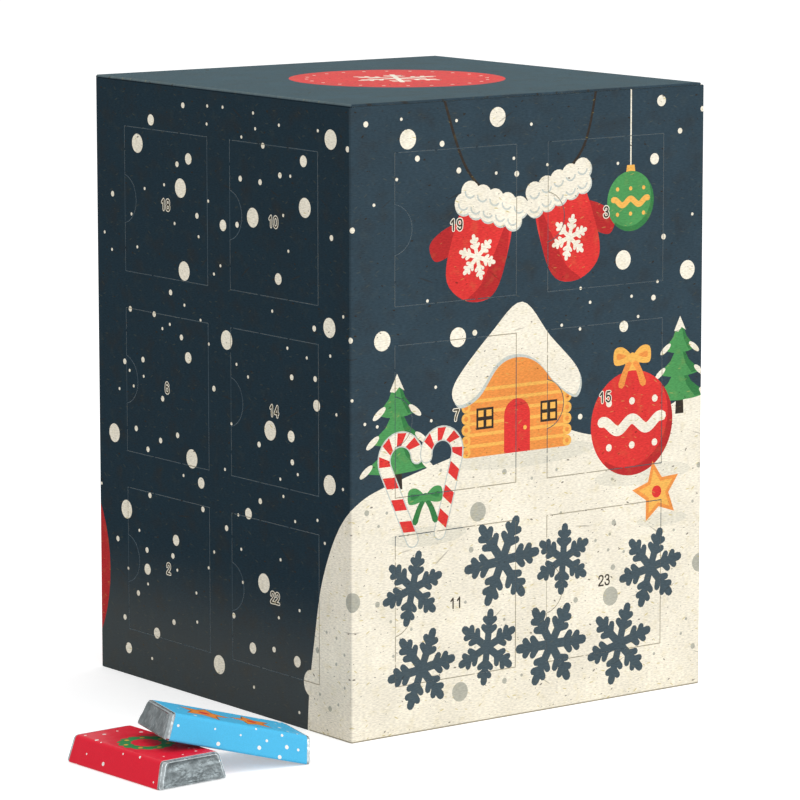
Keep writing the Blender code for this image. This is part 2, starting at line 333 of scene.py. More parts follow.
@dataclass(frozen=True)
class GrassBoard:
    """Uncoated board of grass fibre and recycled paper, offset printed and die-cut.

    Stains, short fibres and dark flecks show through the ink. They give the eye a warm, speckled, uneven
    colour with no gloss, and its fine fuzz lightens it where it is seen at a low angle.

    Attributes:
        ink: the ink that covers it.
        lay: whether the sheet stands or lies.
        mottle_mm: breadth of the broad uneven patches of ink.
        uneven: how far those swing the colour, on most sheets and on the lid's navy.
        stain_mm: breadth of the straw-coloured stains.
        smudge_mm: breadth of the soft dark patches.
        tooth_mm: length and width of the finest grain, drawn coarser than real tooth so that it shows.
        fuzz: how much its fibre ends lighten it at a low angle.
        rub_mm: heights above the floor where the painted light from the floor begins, and where it is full.
        fibres, straws: its fine fibres, and its short pieces of straw.
        straw, fibre, husk: the colours of the stains, the fine fibres and the dark flecks.
    """

    ink: Ink
    lay: Lay
    mottle_mm: float = 16.0
    uneven: Point = (0.08, 0.20)
    stain_mm: float = 3.0
    smudge_mm: float = 7.0
    tooth_mm: Point = (1.1, 0.30)
    fuzz: float = 0.03
    rub_mm: Point = (42.0, 11.0)
    fibres: Scatter = Scatter(4.2, (1.3, 0.09), 0.5, 7.3)
    straws: Scatter = Scatter(3.4, (0.95, 0.20), 0.5, 19.9, 1.4)
    straw: str = "#c6b464"
    fibre: str = "#a08a5c"
    husk: str = "#33291c"

    def flat_place(self, tree: NodeTree) -> NodeSocket:
        """Give the flat place on the sheet, for the way that it lies.

        Args:
            tree: the material's node tree.

        Returns:
            How far along and up it is.
        """
        room = add_node(tree, "ShaderNodeTexCoord").outputs["Object"]
        x, y, z = add_node(tree, "ShaderNodeSeparateXYZ", {0: room}).outputs
        along, up = x, y
        if self.lay is Lay.UPRIGHT:
            along = add_node(tree, "ShaderNodeMath", {0: x, 1: y}, operation="ADD").outputs[0]
            up = z
        flat = add_node(tree, "ShaderNodeCombineXYZ", {0: along, 1: up}).outputs[0]
        in_mm = {0: flat, "Scale": 1 / MM}
        return add_node(tree, "ShaderNodeVectorMath", in_mm, operation="SCALE").outputs[0]

    @cache
    def material(self) -> Material:
        """Build the material.

        Returns:
            A material named for the board, its ink and its lay.
        """
        recipe, lay = self.ink.value, self.lay.value
        ink = self.ink.name.lower()
        material, tree = start_material(f"grass_board_offset_printed_{ink}_{lay.word}")
        place = self.flat_place(tree)
        uneven = self.uneven[self.lay is Lay.LEVEL and self.ink is Ink.NIGHT]
        mottle = cloud(tree, place, self.mottle_mm, (1 - uneven, 1 + uneven), detail=4.0)
        shape = {0: place, 1: (1 / self.tooth_mm[0], 1 / self.tooth_mm[1], 1)}
        combed = add_node(tree, "ShaderNodeVectorMath", shape, operation="MULTIPLY").outputs[0]
        tooth = cloud(tree, combed, 1.0, (0.84, 1.16), detail=2.0)
        colour = tinted(tree, recipe.code, (mottle, tooth))
        stain = cloud(tree, place, self.stain_mm, (0.0, 0.8 * recipe.stain), (0.55, 0.80))
        kinds = (self.fibres, self.straws, lay.large, lay.small, lay.blades)
        fibre, straws, large, small, blades = [kind.mask(tree, place) for kind in kinds]
        smudge = cloud(tree, place, self.smudge_mm, (0.0, 1.0), (0.52, 0.80))
        husks = add_node(tree, "ShaderNodeMath", {0: large, 1: small}, operation="MAXIMUM").outputs[0]
        up = add_node(tree, "ShaderNodeSeparateXYZ", {0: place}).outputs[1]
        # Painted light from the floor: the ink is lightened towards the plain board near the foot.
        low = {"Value": up, "From Min": self.rub_mm[0], "From Max": self.rub_mm[1]}
        rub_and_foot_light = add_node(tree, "ShaderNodeMapRange", low, interpolation_type="SMOOTHSTEP").outputs[0]
        straw, husk = linear(self.straw), linear(self.husk)
        dull_fibre = between(linear(recipe.code), linear(self.fibre), recipe.stain)
        layers = (
            (stain, straw, 1.0), (straws, straw, 2.4 * recipe.stain), (fibre, dull_fibre, 0.8),
            (smudge, husk, recipe.smudge), (blades, husk, 0.5 * lay.bold * recipe.fleck),
            (husks, husk, recipe.fleck), (rub_and_foot_light, linear(Ink.PLAIN.value.code), recipe.rubbed),
        )
        for mask, tint, share in layers:
            part = add_node(tree, "ShaderNodeMath", {0: mask, 1: share}, operation="MULTIPLY").outputs[0]
            mix = {"Factor": part, 6: colour, 7: tint}
            colour = add_node(tree, "ShaderNodeMix", mix, data_type="RGBA").outputs[2]
        relief = ((tooth, 0.06 * lay.bold, 0.6), (fibre, 0.02, 0.4), (husks, 0.05 * lay.bold, 0.5))
        surface = {
            "Roughness": cloud(tree, place, self.mottle_mm, (0.74, 0.86)), "IOR": 1.47,
            "Specular IOR Level": 0.05, "Sheen Weight": self.fuzz, "Sheen Roughness": 0.25,
            "Sheen Tint": (0.62, 1.0, 1.0, 1.0),
        }
        finish_material(tree, colour, relief, surface)
        return material


@dataclass(frozen=True)
class MouldedPulp:
    """Recycled paper pulp, moulded wet on a mesh: a felted, lumpy grey-brown surface, soft in the light.

    Attributes:
        code: its colour.
        lump_mm: spacing of the lumps.
        felt_mm: spacing of the felted fibres.
    """

    code: str = "#b9ad93"
    lump_mm: float = 2.4
    felt_mm: float = 0.35

    @cache
    def material(self) -> Material:
        """Build the material.

        Returns:
            The pulp material.
        """
        material, tree = start_material("paper_pulp_wet_moulded")
        room = add_node(tree, "ShaderNodeTexCoord").outputs["Object"]
        lumps = cloud(tree, room, self.lump_mm * MM, (0.80, 1.08))
        felt = cloud(tree, room, self.felt_mm * MM, (0.88, 1.08), detail=2.0)
        colour = tinted(tree, self.code, (lumps, felt))
        surface = {"Roughness": 0.92, "IOR": 1.47, "Specular IOR Level": 0.2}
        finish_material(tree, colour, ((lumps, 0.4, 0.6), (felt, 0.1, 0.6)), surface)
        return material


@dataclass(frozen=True)
class GlossPaper:
    """Thin gloss-coated paper, printed and wrapped by hand tightness: full colour under a soft sheen.

    Attributes:
        code: its colour.
        ripple_mm: spacing of the faint ripples over the foil beneath.
    """

    code: str
    ripple_mm: float = 6.0

    @cache
    def material(self) -> Material:
        """Build the material.

        Returns:
            A material named for the paper and its ink.
        """
        material, tree = start_material(f"gloss_paper_printed_{self.code[1:]}")
        room = add_node(tree, "ShaderNodeTexCoord").outputs["Object"]
        ripple = cloud(tree, room, self.ripple_mm * MM, (0.28, 0.40), detail=2.0)
        screen = cloud(tree, room, 0.25 * MM, (0.95, 1.05), detail=1.0)
        surface = {"Roughness": ripple, "IOR": 1.5, "Specular IOR Level": 0.08}
        finish_material(tree, tinted(tree, self.code, (screen,)), ((ripple, 1.0, 0.5),), surface)
        return material


@dataclass(frozen=True)
class PressedFoil:
    """Soft aluminium foil, pressed round the bar: metal, dulled by the fine creases of its folded ends.

    Attributes:
        code: its colour, darkened as painted shade for the surroundings that it mirrors; a brighter copy on
            the edges is a painted highlight.
        crease_mm: spacing of the fine creases.
    """

    code: str = "#646b6d"
    crease_mm: float = 1.3

    @cache
    def material(self) -> Material:
        """Build the material.

        Returns:
            The foil material.
        """
        material, tree = start_material(f"aluminium_foil_pressed_{self.code[1:]}")
        room = add_node(tree, "ShaderNodeTexCoord").outputs["Object"]
        seek = {"Vector": room, "Scale": 1 / (self.crease_mm * MM)}
        creases = add_node(tree, "ShaderNodeTexVoronoi", seek, feature="DISTANCE_TO_EDGE").outputs[0]
        rub_and_foot_light = cloud(tree, room, 2.6 * MM, (0.74, 1.24), (0.36, 0.66), 4.0)
        dull = cloud(tree, room, 1.6 * MM, (0.24, 0.44))
        relief = ((creases, 0.14, 0.6), (rub_and_foot_light, 0.40, 0.5))
        finish_material(tree, tinted(tree, self.code, (rub_and_foot_light,)), relief, {"Metallic": 1.0, "Roughness": dull})
        return material


def add_object(name: str, data: ID) -> Object:
    """Add an object to the scene.

    Args:
        name: its name.
        data: its mesh, lamp or camera.

    Returns:
        The new object.
    """
    item = bpy.data.objects.new(name, data)
    bpy.context.scene.collection.objects.link(item)
    return item


def finish_mesh(mesh: Mesh, crease_deg: float) -> Object:
    """Turn a mesh's faces outwards, shade it smooth, and add it to the scene.

    Args:
        mesh: the mesh.
        crease_deg: the angle between two faces from which their edge stays sharp.

    Returns:
        The new object.
    """
    bm = bmesh.new()
    bm.from_mesh(mesh)
    bmesh.ops.recalc_face_normals(bm, faces=bm.faces)
    bm.to_mesh(mesh)
    bm.free()
    mesh.shade_smooth()
    mesh.set_sharp_from_angle(angle=math.radians(crease_deg))
    return add_object(mesh.name, mesh)


def hand_over(piece: Object, node: str, body: str) -> None:
    """Let a piece stand for a CAD node.

    Args:
        piece: the piece.
        node: the node that it replaces.
        body: the body that it rides on.
    """
    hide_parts(node)
    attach(piece, body)


def laid_flat(section: np.ndarray, across: np.ndarray) -> np.ndarray:
    """Lay a cross-section's length along X and its height along Z."""
    return np.column_stack((section[:, 0], across, section[:, 1]))


@dataclass
class Shape:
    """One printed shape.

    Attributes:
        ink: what it is printed in; on a bar's band, the name of the band's ink.
        loops: closed outlines, anticlockwise round ink and clockwise round a hole in it.
    """

    ink: Ink | str
    loops: list[Loop]

    def reach(self) -> tuple[np.ndarray, np.ndarray]:
        """Give the lowest and highest corner of its outlines."""
        every = np.concatenate(self.loops)
        return every.min(axis=0), every.max(axis=0)

    def placed(self, at: Point, size: float = 1.0, tilt: float = 0.0) -> "Shape":
        """Give a copy that is enlarged, turned by an angle in radians and moved."""
        c, s = size * math.cos(tilt), size * math.sin(tilt)
        return Shape(self.ink, [loop @ np.array(((c, s), (-s, c))) + at for loop in self.loops])

    def holds(self, places: np.ndarray) -> np.ndarray:
        """Say which places it covers.

        Args:
            places: an array of points, one to a row.

        Returns:
            True for each point that the outlines wind round.
        """
        low, high = self.reach()
        near = np.all((places >= low) & (places <= high), axis=1)
        inside = np.zeros(len(places), bool)
        if not near.any():
            return inside
        x, y = places[near, 0][:, None], places[near, 1][:, None]
        turns = np.zeros(near.sum(), int)
        for loop in self.loops:
            x1, y1 = loop[:, 0][None], loop[:, 1][None]
            x2, y2 = np.roll(loop[:, 0], -1)[None], np.roll(loop[:, 1], -1)[None]
            side = (x2 - x1) * (y - y1) - (x - x1) * (y2 - y1)
            rises = (y1 <= y) & (y < y2) & (side > 0)
            falls = (y2 <= y) & (y < y1) & (side < 0)
            turns += rises.sum(axis=1) - falls.sum(axis=1)
        inside[near] = turns > 0
        return inside


def winding_area(loop: Loop) -> float:
    """Give twice the area inside a closed outline, negative where it runs clockwise."""
    x, y = loop.T
    return float(np.dot(x, np.roll(y, -1)) - np.dot(y, np.roll(x, -1)))


def turn_out(loop: Iterable[Point]) -> Loop:
    """Give a closed outline as an array that runs anticlockwise."""
    points = np.array(list(loop), float)
    return points if winding_area(points) > 0 else points[::-1]


def oval(at: Point, wide: float, high: float, steps: int = 32, tilt: float = 0.0) -> Loop:
    """Draw an oval.

    Args:
        at: its middle.
        wide: half its width.
        high: half its height.
        steps: how many straight runs make it.
        tilt: how far it is turned, in radians.

    Returns:
        Its outline.
    """
    angle = np.linspace(0, FULL_TURN, steps, endpoint=False)
    x, y = wide * np.cos(angle), high * np.sin(angle)
    c, s = math.cos(tilt), math.sin(tilt)
    return np.column_stack((at[0] + x * c - y * s, at[1] + x * s + y * c))


def spline(points: Sequence[Point], steps: int = 7, closed: bool = True) -> Loop:
    """Draw a smooth curve through points.

    Args:
        points: the points it passes through.
        steps: how many straight runs lie between two of them.
        closed: whether the last point leads back to the first.

    Returns:
        The curve's points.
    """
    knots = np.array(points, float)
    count = len(knots)
    spans = count if closed else count - 1
    share = np.linspace(0, 1, steps, endpoint=False)[:, None]
    runs = []
    for i in range(spans):
        before, after = (i - 1, i + 2) if closed else (max(i - 1, 0), min(i + 2, count - 1))
        a, b, c, d = (knots[j % count] for j in (before, i, i + 1, after))
        runs.append(
            b
            + 0.5 * share * (c - a)
            + share**2 * (a - 2.5 * b + 2 * c - 0.5 * d)
            + 0.5 * share**3 * (3 * b - a - 3 * c + d)
        )
    curve = np.concatenate(runs)
    return turn_out(curve) if closed else np.vstack((curve, knots[-1]))


def ribbon(points: Sequence[Point], width: float, cap_steps: int = 6, taper: float = 1.0) -> Loop:
    """Draw a line of even or tapering width with round ends.

    Args:
        points: the points down its middle.
        width: its width at the start.
        cap_steps: how many straight runs make a round end.
        taper: its width at the end, as a share of that at the start.

    Returns:
        Its outline.
    """
    line = np.array(points, float)
    along = np.gradient(line, axis=0) if len(line) > 2 else np.repeat(line[1:] - line[:1], 2, axis=0)
    along /= np.linalg.norm(along, axis=1)[:, None]
    across = np.column_stack((-along[:, 1], along[:, 0]))
    half = np.linspace(width, width * taper, len(line))[:, None] / 2
    turns = np.linspace(0, math.pi, cap_steps + 1)[1:-1]
    end = [line[-1] + half[-1] * (along[-1] * math.sin(t) - across[-1] * math.cos(t)) for t in turns]
    start = [line[0] + half[0] * (across[0] * math.cos(t) - along[0] * math.sin(t)) for t in turns]
    return turn_out([*(line - across * half), *end, *(line + across * half)[::-1], *start])


def star(at: Point, outer: float, inner: float, tips: int, tilt: float = math.pi / 2) -> Loop:
    """Draw a star with straight sides.

    Args:
        at: its middle.
        outer: distance from there to a tip.
        inner: distance from there to an inward corner.
        tips: how many tips it has.
        tilt: the direction of its first tip, in radians.

    Returns:
        Its outline.
    """
    angle = tilt + np.arange(2 * tips) * math.pi / tips
    far = np.where(np.arange(2 * tips) % 2 == 0, outer, inner)
    return np.column_stack((at[0] + far * np.cos(angle), at[1] + far * np.sin(angle)))


def snowflake(ink: Ink | str, at: Point, radius: float, width: float, tilt: float = math.pi / 2) -> Shape:
    """Draw a six-armed snowflake.

    Args:
        ink: what it is printed in.
        at: its middle.
        radius: the length of an arm.
        width: the width of an arm.
        tilt: the direction of its first arm, in radians.

    Returns:
        The shape.
    """
    loops = []
    for arm in range(6):
        angle = tilt + arm * FULL_TURN / 6
        out = np.array((math.cos(angle), math.sin(angle)))
        loops.append(ribbon([at, at + out * radius], width, 4))
        for from_share, long_share in ((0.42, 0.26), (0.68, 0.22)):
            foot = at + out * radius * from_share
            for side in (-1, 1):
                lean = angle + side * FULL_TURN / 7
                tip = foot + radius * long_share * np.array((math.cos(lean), math.sin(lean)))
                loops.append(ribbon([foot, tip], width * 0.8, 4))
    return Shape(ink, loops)


FIGURE_LINES: dict[str, list[list[Point]]] = {
    "0": [[(0.5, 1), (0.9, 0.86), (1, 0.5), (0.9, 0.14), (0.5, 0), (0.1, 0.14), (0, 0.5), (0.1, 0.86),
           (0.5, 1)]],
    "1": [[(0.10, 0.72), (0.56, 1)], [(0.56, 1), (0.56, 0)]],
    "2": [[(0.03, 0.7), (0.12, 0.92), (0.5, 1), (0.88, 0.9), (0.92, 0.64), (0.6, 0.38), (0.12, 0.14),
           (0, 0)], [(0, 0), (1, 0)]],
    "3": [[(0.06, 0.78), (0.2, 0.95), (0.5, 1), (0.84, 0.9), (0.86, 0.68), (0.7, 0.56), (0.4, 0.53)],
          [(0.4, 0.53), (0.8, 0.47), (0.97, 0.28), (0.85, 0.07), (0.5, 0), (0.15, 0.06), (0.02, 0.25)]],
    "4": [[(0.74, 0), (0.74, 1)], [(0.74, 1), (0, 0.3)], [(0, 0.3), (1, 0.3)]],
    "5": [[(0.88, 1), (0.2, 1)], [(0.2, 1), (0.08, 0.48)],
          [(0.08, 0.48), (0.3, 0.61), (0.6, 0.63), (0.92, 0.5), (0.97, 0.25), (0.8, 0.05), (0.45, 0),
           (0.02, 0.2)]],
    "6": [[(0.03, 0.34), (0.14, 0.54), (0.5, 0.63), (0.88, 0.5), (0.97, 0.3), (0.85, 0.07), (0.5, 0),
           (0.13, 0.09), (0.03, 0.34), (0.06, 0.66), (0.2, 0.92), (0.55, 1), (0.92, 0.8)]],
    "7": [[(0, 1), (1, 1)], [(1, 1), (0.64, 0.6), (0.44, 0.3), (0.36, 0)]],
    "8": [[(0.5, 0.54), (0.16, 0.62), (0.1, 0.78), (0.18, 0.94), (0.5, 1), (0.82, 0.94), (0.9, 0.78),
           (0.84, 0.62), (0.5, 0.54), (0.13, 0.46), (0.02, 0.26), (0.16, 0.06), (0.5, 0), (0.84, 0.06),
           (0.98, 0.26), (0.87, 0.46), (0.5, 0.54)]],
}
FIGURE_LINES["9"] = [[(1 - x, 1 - y) for x, y in line] for line in FIGURE_LINES["6"]]


def figures(text: str, at: Point, tall: float, stroke: float, halo: float = 0.0) -> list[Loop]:
    """Draw a number in plain figures of even stroke.

    Args:
        text: the number.
        at: its middle.
        tall: the figures' height.
        stroke: the width of their lines.
        halo: how far the outline stands out from the figures.

    Returns:
        Its outlines.
    """
    high = tall - stroke
    wide, advance = 0.56 * high, 0.68 * tall
    loops = []
    for i, sign in enumerate(text):
        left = at[0] + advance * (i - len(text) / 2 + 0.5) - wide / 2
        for line in FIGURE_LINES[sign]:
            points = [(left + x * wide, at[1] + (y - 0.5) * high) for x, y in line]
            curve = spline(points, 4, False) if len(points) > 2 else points
            loops.append(ribbon(curve, stroke + 2 * halo, 4))
    return loops


class Motifs:
    """The print's own figures, each drawn at size 1 round 0, from the back to the front, and then placed."""

    @staticmethod
    def bauble(at: Point, radius: float, inks: tuple[Ink, Ink, Ink], top: float | None) -> list[Shape]:
        """Draw a glass ball with a band round it.

        Args:
            at: its middle.
            radius: its radius.
            inks: its colour, its shaded side and its band.
            top: height that its string reaches up to, or None for a ball that lies down.

        Returns:
            The shapes.
        """
        ball, shade, band = inks
        string = [(at[0], at[1] + radius), (at[0], top)]
        hung = [] if top is None else [Shape(Ink.SNOW, [ribbon(string, 0.45, 3)])]
        cap = [(-0.2, 0.93), (0.2, 0.93), (0.16, 1.2), (-0.16, 1.2)]
        rim = [(math.cos(a), math.sin(a)) for a in np.linspace(-2.3, 0.75, 30)]
        inner = [(0.98 * math.cos(a) - 0.1, 0.98 * math.sin(a) + 0.14) for a in np.linspace(0.62, -2.18, 30)]
        wave = [(t, 0.10 * math.cos(9 * t) - 0.02) for t in np.linspace(-0.74, 0.74, 40)]
        dots = [oval((t, high), 0.07, 0.07, 14) for t in (-0.56, 0.0, 0.56) for high in (-0.42, 0.42)]
        shapes = [
            Shape(Ink.AMBER, [turn_out(cap)]), Shape(ball, [oval((0, 0), 1, 1, 56)]),
            Shape(shade, [turn_out(rim + inner)]), Shape(band, [ribbon(wave, 0.20, 4), *dots]),
        ]
        return hung + [shape.placed(at, radius) for shape in shapes]

    @staticmethod
    def fir(foot: Point, tall: float, trimmed: bool) -> list[Shape]:
        """Draw a fir tree of stacked boughs with snow on their tips.

        Args:
            foot: the middle of its trunk's foot.
            tall: its height.
            trimmed: whether it has small balls and a star.

        Returns:
            The shapes, the lowest bough first.
        """
        shapes = [Shape(Ink.SOOT, [turn_out([(-0.05, 0), (0.05, 0), (0.04, 0.2), (-0.04, 0.2)])])]
        boughs = ((0.14, 0.33, 0.50), (0.36, 0.26, 0.68), (0.58, 0.19, 0.90))
        for low, half, high in boughs:
            hem = [(half * t, low + 0.035 * (t * t - 0.5)) for t in np.linspace(-1, 1, 5)]
            waist = (0.42 * half, low + 0.42 * (high - low))
            bough = [*hem, waist, (0, high), (-waist[0], waist[1])]
            fold = [(0.55 * half, low + 0.01), (half, low + 0.02), waist, (0, high),
                    (0.25 * half, low + 0.34 * (high - low))]
            drifts = [oval((s * 0.9 * half, low + 0.028), 0.075, 0.026, 20, -s * 0.65) for s in (-1, 1)]
            shapes += [Shape(Ink.GREEN, [turn_out(bough)]), Shape(Ink.GREEN_DEEP, [turn_out(fold)])]
            shapes.append(Shape(Ink.SNOW, drifts))
        if trimmed:
            inks = (Ink.RED, Ink.AMBER, Ink.SNOW)
            for i, (low, half, _) in enumerate(boughs):
                for j, t in enumerate((-0.45, 0.05, 0.5)):
                    ball = oval((half * t, low + 0.07 + 0.02 * j), 0.022, 0.022, 18)
                    shapes.append(Shape(inks[(i + j) % 3], [ball]))
            shapes.append(Shape(Ink.AMBER, [star((0, 0.93), 0.085, 0.036, 5)]))
        else:
            cap = [(-0.07, 0.77), (0, 0.905), (0.07, 0.77), (0.02, 0.80), (-0.02, 0.76)]
            shapes.append(Shape(Ink.SNOW, [turn_out(cap)]))
        return [shape.placed(foot, tall) for shape in shapes]

    @staticmethod
    def cabin(at: Point, wide: float) -> list[Shape]:
        """Draw a log cabin under a thick roof of snow.

        Args:
            at: the middle of its foot.
            wide: the width of its wall.

        Returns:
            The shapes.
        """
        logs, eaves, ridge = 7, 0.62, 1.02
        front = [(-0.5, 0), (0.5, 0), (0.5, eaves), (0, ridge), (-0.5, eaves)]
        shapes = [Shape(Ink.ORANGE, [turn_out(front)])]
        joints = [eaves * i / logs for i in range(1, logs)]
        shapes.append(Shape(Ink.AMBER, [ribbon([(-0.48, y), (0.48, y)], 0.026, 3) for y in joints]))
        for side in (-1, 1):
            for i in range(logs):
                end = (side * 0.506, eaves * (i + 0.5) / logs)
                shapes.append(Shape(Ink.AMBER, [oval(end, 0.044, 0.044, 20)]))
                shapes.append(Shape(Ink.ORANGE, [oval(end, 0.02, 0.02, 14)]))
        arch = [(0.13 * math.cos(a), 0.30 + 0.13 * math.sin(a)) for a in np.linspace(0, math.pi, 11)]
        shapes.append(Shape(Ink.RED, [turn_out([(-0.13, 0), (0.13, 0), *arch])]))
        shapes.append(Shape(Ink.AMBER, [oval((0.08, 0.19), 0.018, 0.018, 14)]))
        for x in (-0.32, 0.32):
            corners = [(x + dx, 0.3 + dy) for dx in (-0.04, 0.04) for dy in (-0.04, 0.04)]
            shapes.append(Shape(Ink.SOOT, [oval((x, 0.3), 0.12, 0.12, 4, math.pi / 4)]))
            shapes.append(Shape(Ink.AMBER, [oval(spot, 0.036, 0.036, 4, math.pi / 4) for spot in corners]))
        hem = []
        drips = (0.00, 0.11, 0.04, 0.14, 0.05, 0.09, 0.02)
        for t, drip in zip(np.linspace(-1.18, 1.18, len(drips)), drips):
            slope = ridge - (ridge - eaves) * abs(t) if abs(t) < 1 else eaves - 0.5 * (abs(t) - 1)
            hem.append((0.5 * t, slope - 0.10 - drip))
        roof = spline([*hem, (0.62, 0.60), (0.33, 0.90), (0.05, 1.19), (-0.26, 0.97), (-0.62, 0.60)], 6)
        shapes += [Shape(Ink.SNOW_SHADE, [roof + (0.015, -0.026)]), Shape(Ink.SNOW, [roof])]
        return [shape.placed(at, wide) for shape in shapes]

    @staticmethod
    def bow(at: Point, size: float, ink: Ink, shade: Ink) -> list[Shape]:
        """Draw a tied ribbon.

        Args:
            at: its knot.
            size: the length of a loop.
            ink: its colour.
            shade: the colour inside its loops.

        Returns:
            The shapes.
        """
        shapes = []
        for side in (-1, 1):
            tail = spline([(0, 0), (side * 0.35, -0.5), (side * 0.62, -1.15)], 5, False)
            shapes.append(Shape(shade, [ribbon(tail, 0.24, 3, 1.5)]))
        for side in (-1, 1):
            lobe = [(0, 0), (side * 0.5, 0.48), (side, 0.42), (side * 1.02, -0.22), (side * 0.5, -0.26)]
            hole = [(side * 0.34, 0.10), (side * 0.84, 0.24), (side * 0.82, -0.04)]
            shapes += [Shape(ink, [spline(lobe, 5)]), Shape(shade, [spline(hole, 5)])]
        shapes.append(Shape(ink, [oval((0, 0), 0.20, 0.23, 20)]))
        return [shape.placed(at, size) for shape in shapes]

    @staticmethod
    def candy_cane(foot: Point, tall: float, lean: float, side: int) -> list[Shape]:
        """Draw a striped stick of candy with a crook.

        Args:
            foot: the middle of its foot.
            tall: its height.
            lean: how far it leans, in radians.
            side: 1 for a crook to the right, -1 to the left.

        Returns:
            The shapes.
        """
        width, crook = 0.13, 0.20
        stem = [(0.0, t) for t in np.linspace(0, 1 - crook, 14)]
        bend = np.linspace(0, 3.5, 18)[1:]
        hook = [(side * crook * (1 - math.cos(a)), 1 - crook + crook * math.sin(a)) for a in bend]
        path = np.array(stem + hook)
        along = np.gradient(path, axis=0)
        along /= np.linalg.norm(along, axis=1)[:, None]
        across = np.column_stack((-along[:, 1], along[:, 0])) * width / 2
        low, high = path - across, path + across
        starts = range(1, len(path) - 3, 4)
        stripes = [turn_out([low[i], low[i + 2], high[i + 3], high[i + 1]]) for i in starts]
        shapes = [
            Shape(Ink.SNOW_SHADE, [ribbon(path, width * 1.22)]), Shape(Ink.SNOW, [ribbon(path, width)]),
            Shape(Ink.RED, stripes),
        ]
        return [shape.placed(foot, tall, lean) for shape in shapes]

    @staticmethod
    def mitten(at: Point, tall: float, tilt: float, side: int) -> list[Shape]:
        """Draw a hanging woollen mitten with a fluffy cuff.

        Args:
            at: the middle of its cuff.
            tall: the length of the hand below the cuff.
            tilt: how far it is turned, in radians.
            side: 1 for a thumb to the right, -1 to the left.

        Returns:
            The shapes.
        """
        palm = [(-0.30, 0.05), (-0.40, -0.45), (-0.33, -0.86), (0, -1)]
        hand = palm + [(-x, y) for x, y in reversed(palm[:-1])]
        thumb = [(0.28, -0.18), (0.52, -0.30), (0.68, -0.52), (0.56, -0.68), (0.38, -0.58), (0.22, -0.42)]
        shade = [(-0.30, 0), (-0.40, -0.45), (-0.33, -0.86), (0, -1), (-0.14, -0.78), (-0.22, -0.40)]
        shapes = [
            Shape(ink, [spline([(side * x, y) for x, y in line], 5)])
            for ink, line in ((Ink.RED_DEEP, thumb), (Ink.RED, hand), (Ink.RED_DEEP, shade))
        ]
        shapes.append(snowflake(Ink.SNOW, (0, -0.5), 0.24, 0.05, 0.0))
        fluff, curls = [], []
        for row, high in enumerate((0.02, 0.17)):
            for i in range(5):
                x = -0.36 + 0.18 * i + 0.05 * row
                arc = [(x + 0.07 * math.cos(a), high + 0.07 * math.sin(a)) for a in np.linspace(3.4, 5.8, 7)]
                fluff.append(oval((x, high), 0.125, 0.12, 18))
                curls.append(ribbon(arc, 0.022, 2))
        shapes.append(Shape(Ink.SNOW_SHADE, [loop + (0.012, -0.02) for loop in fluff]))
        shapes += [Shape(Ink.SNOW, fluff), Shape(Ink.SNOW_SHADE, curls)]
        return [shape.placed(at, tall, tilt) for shape in shapes]


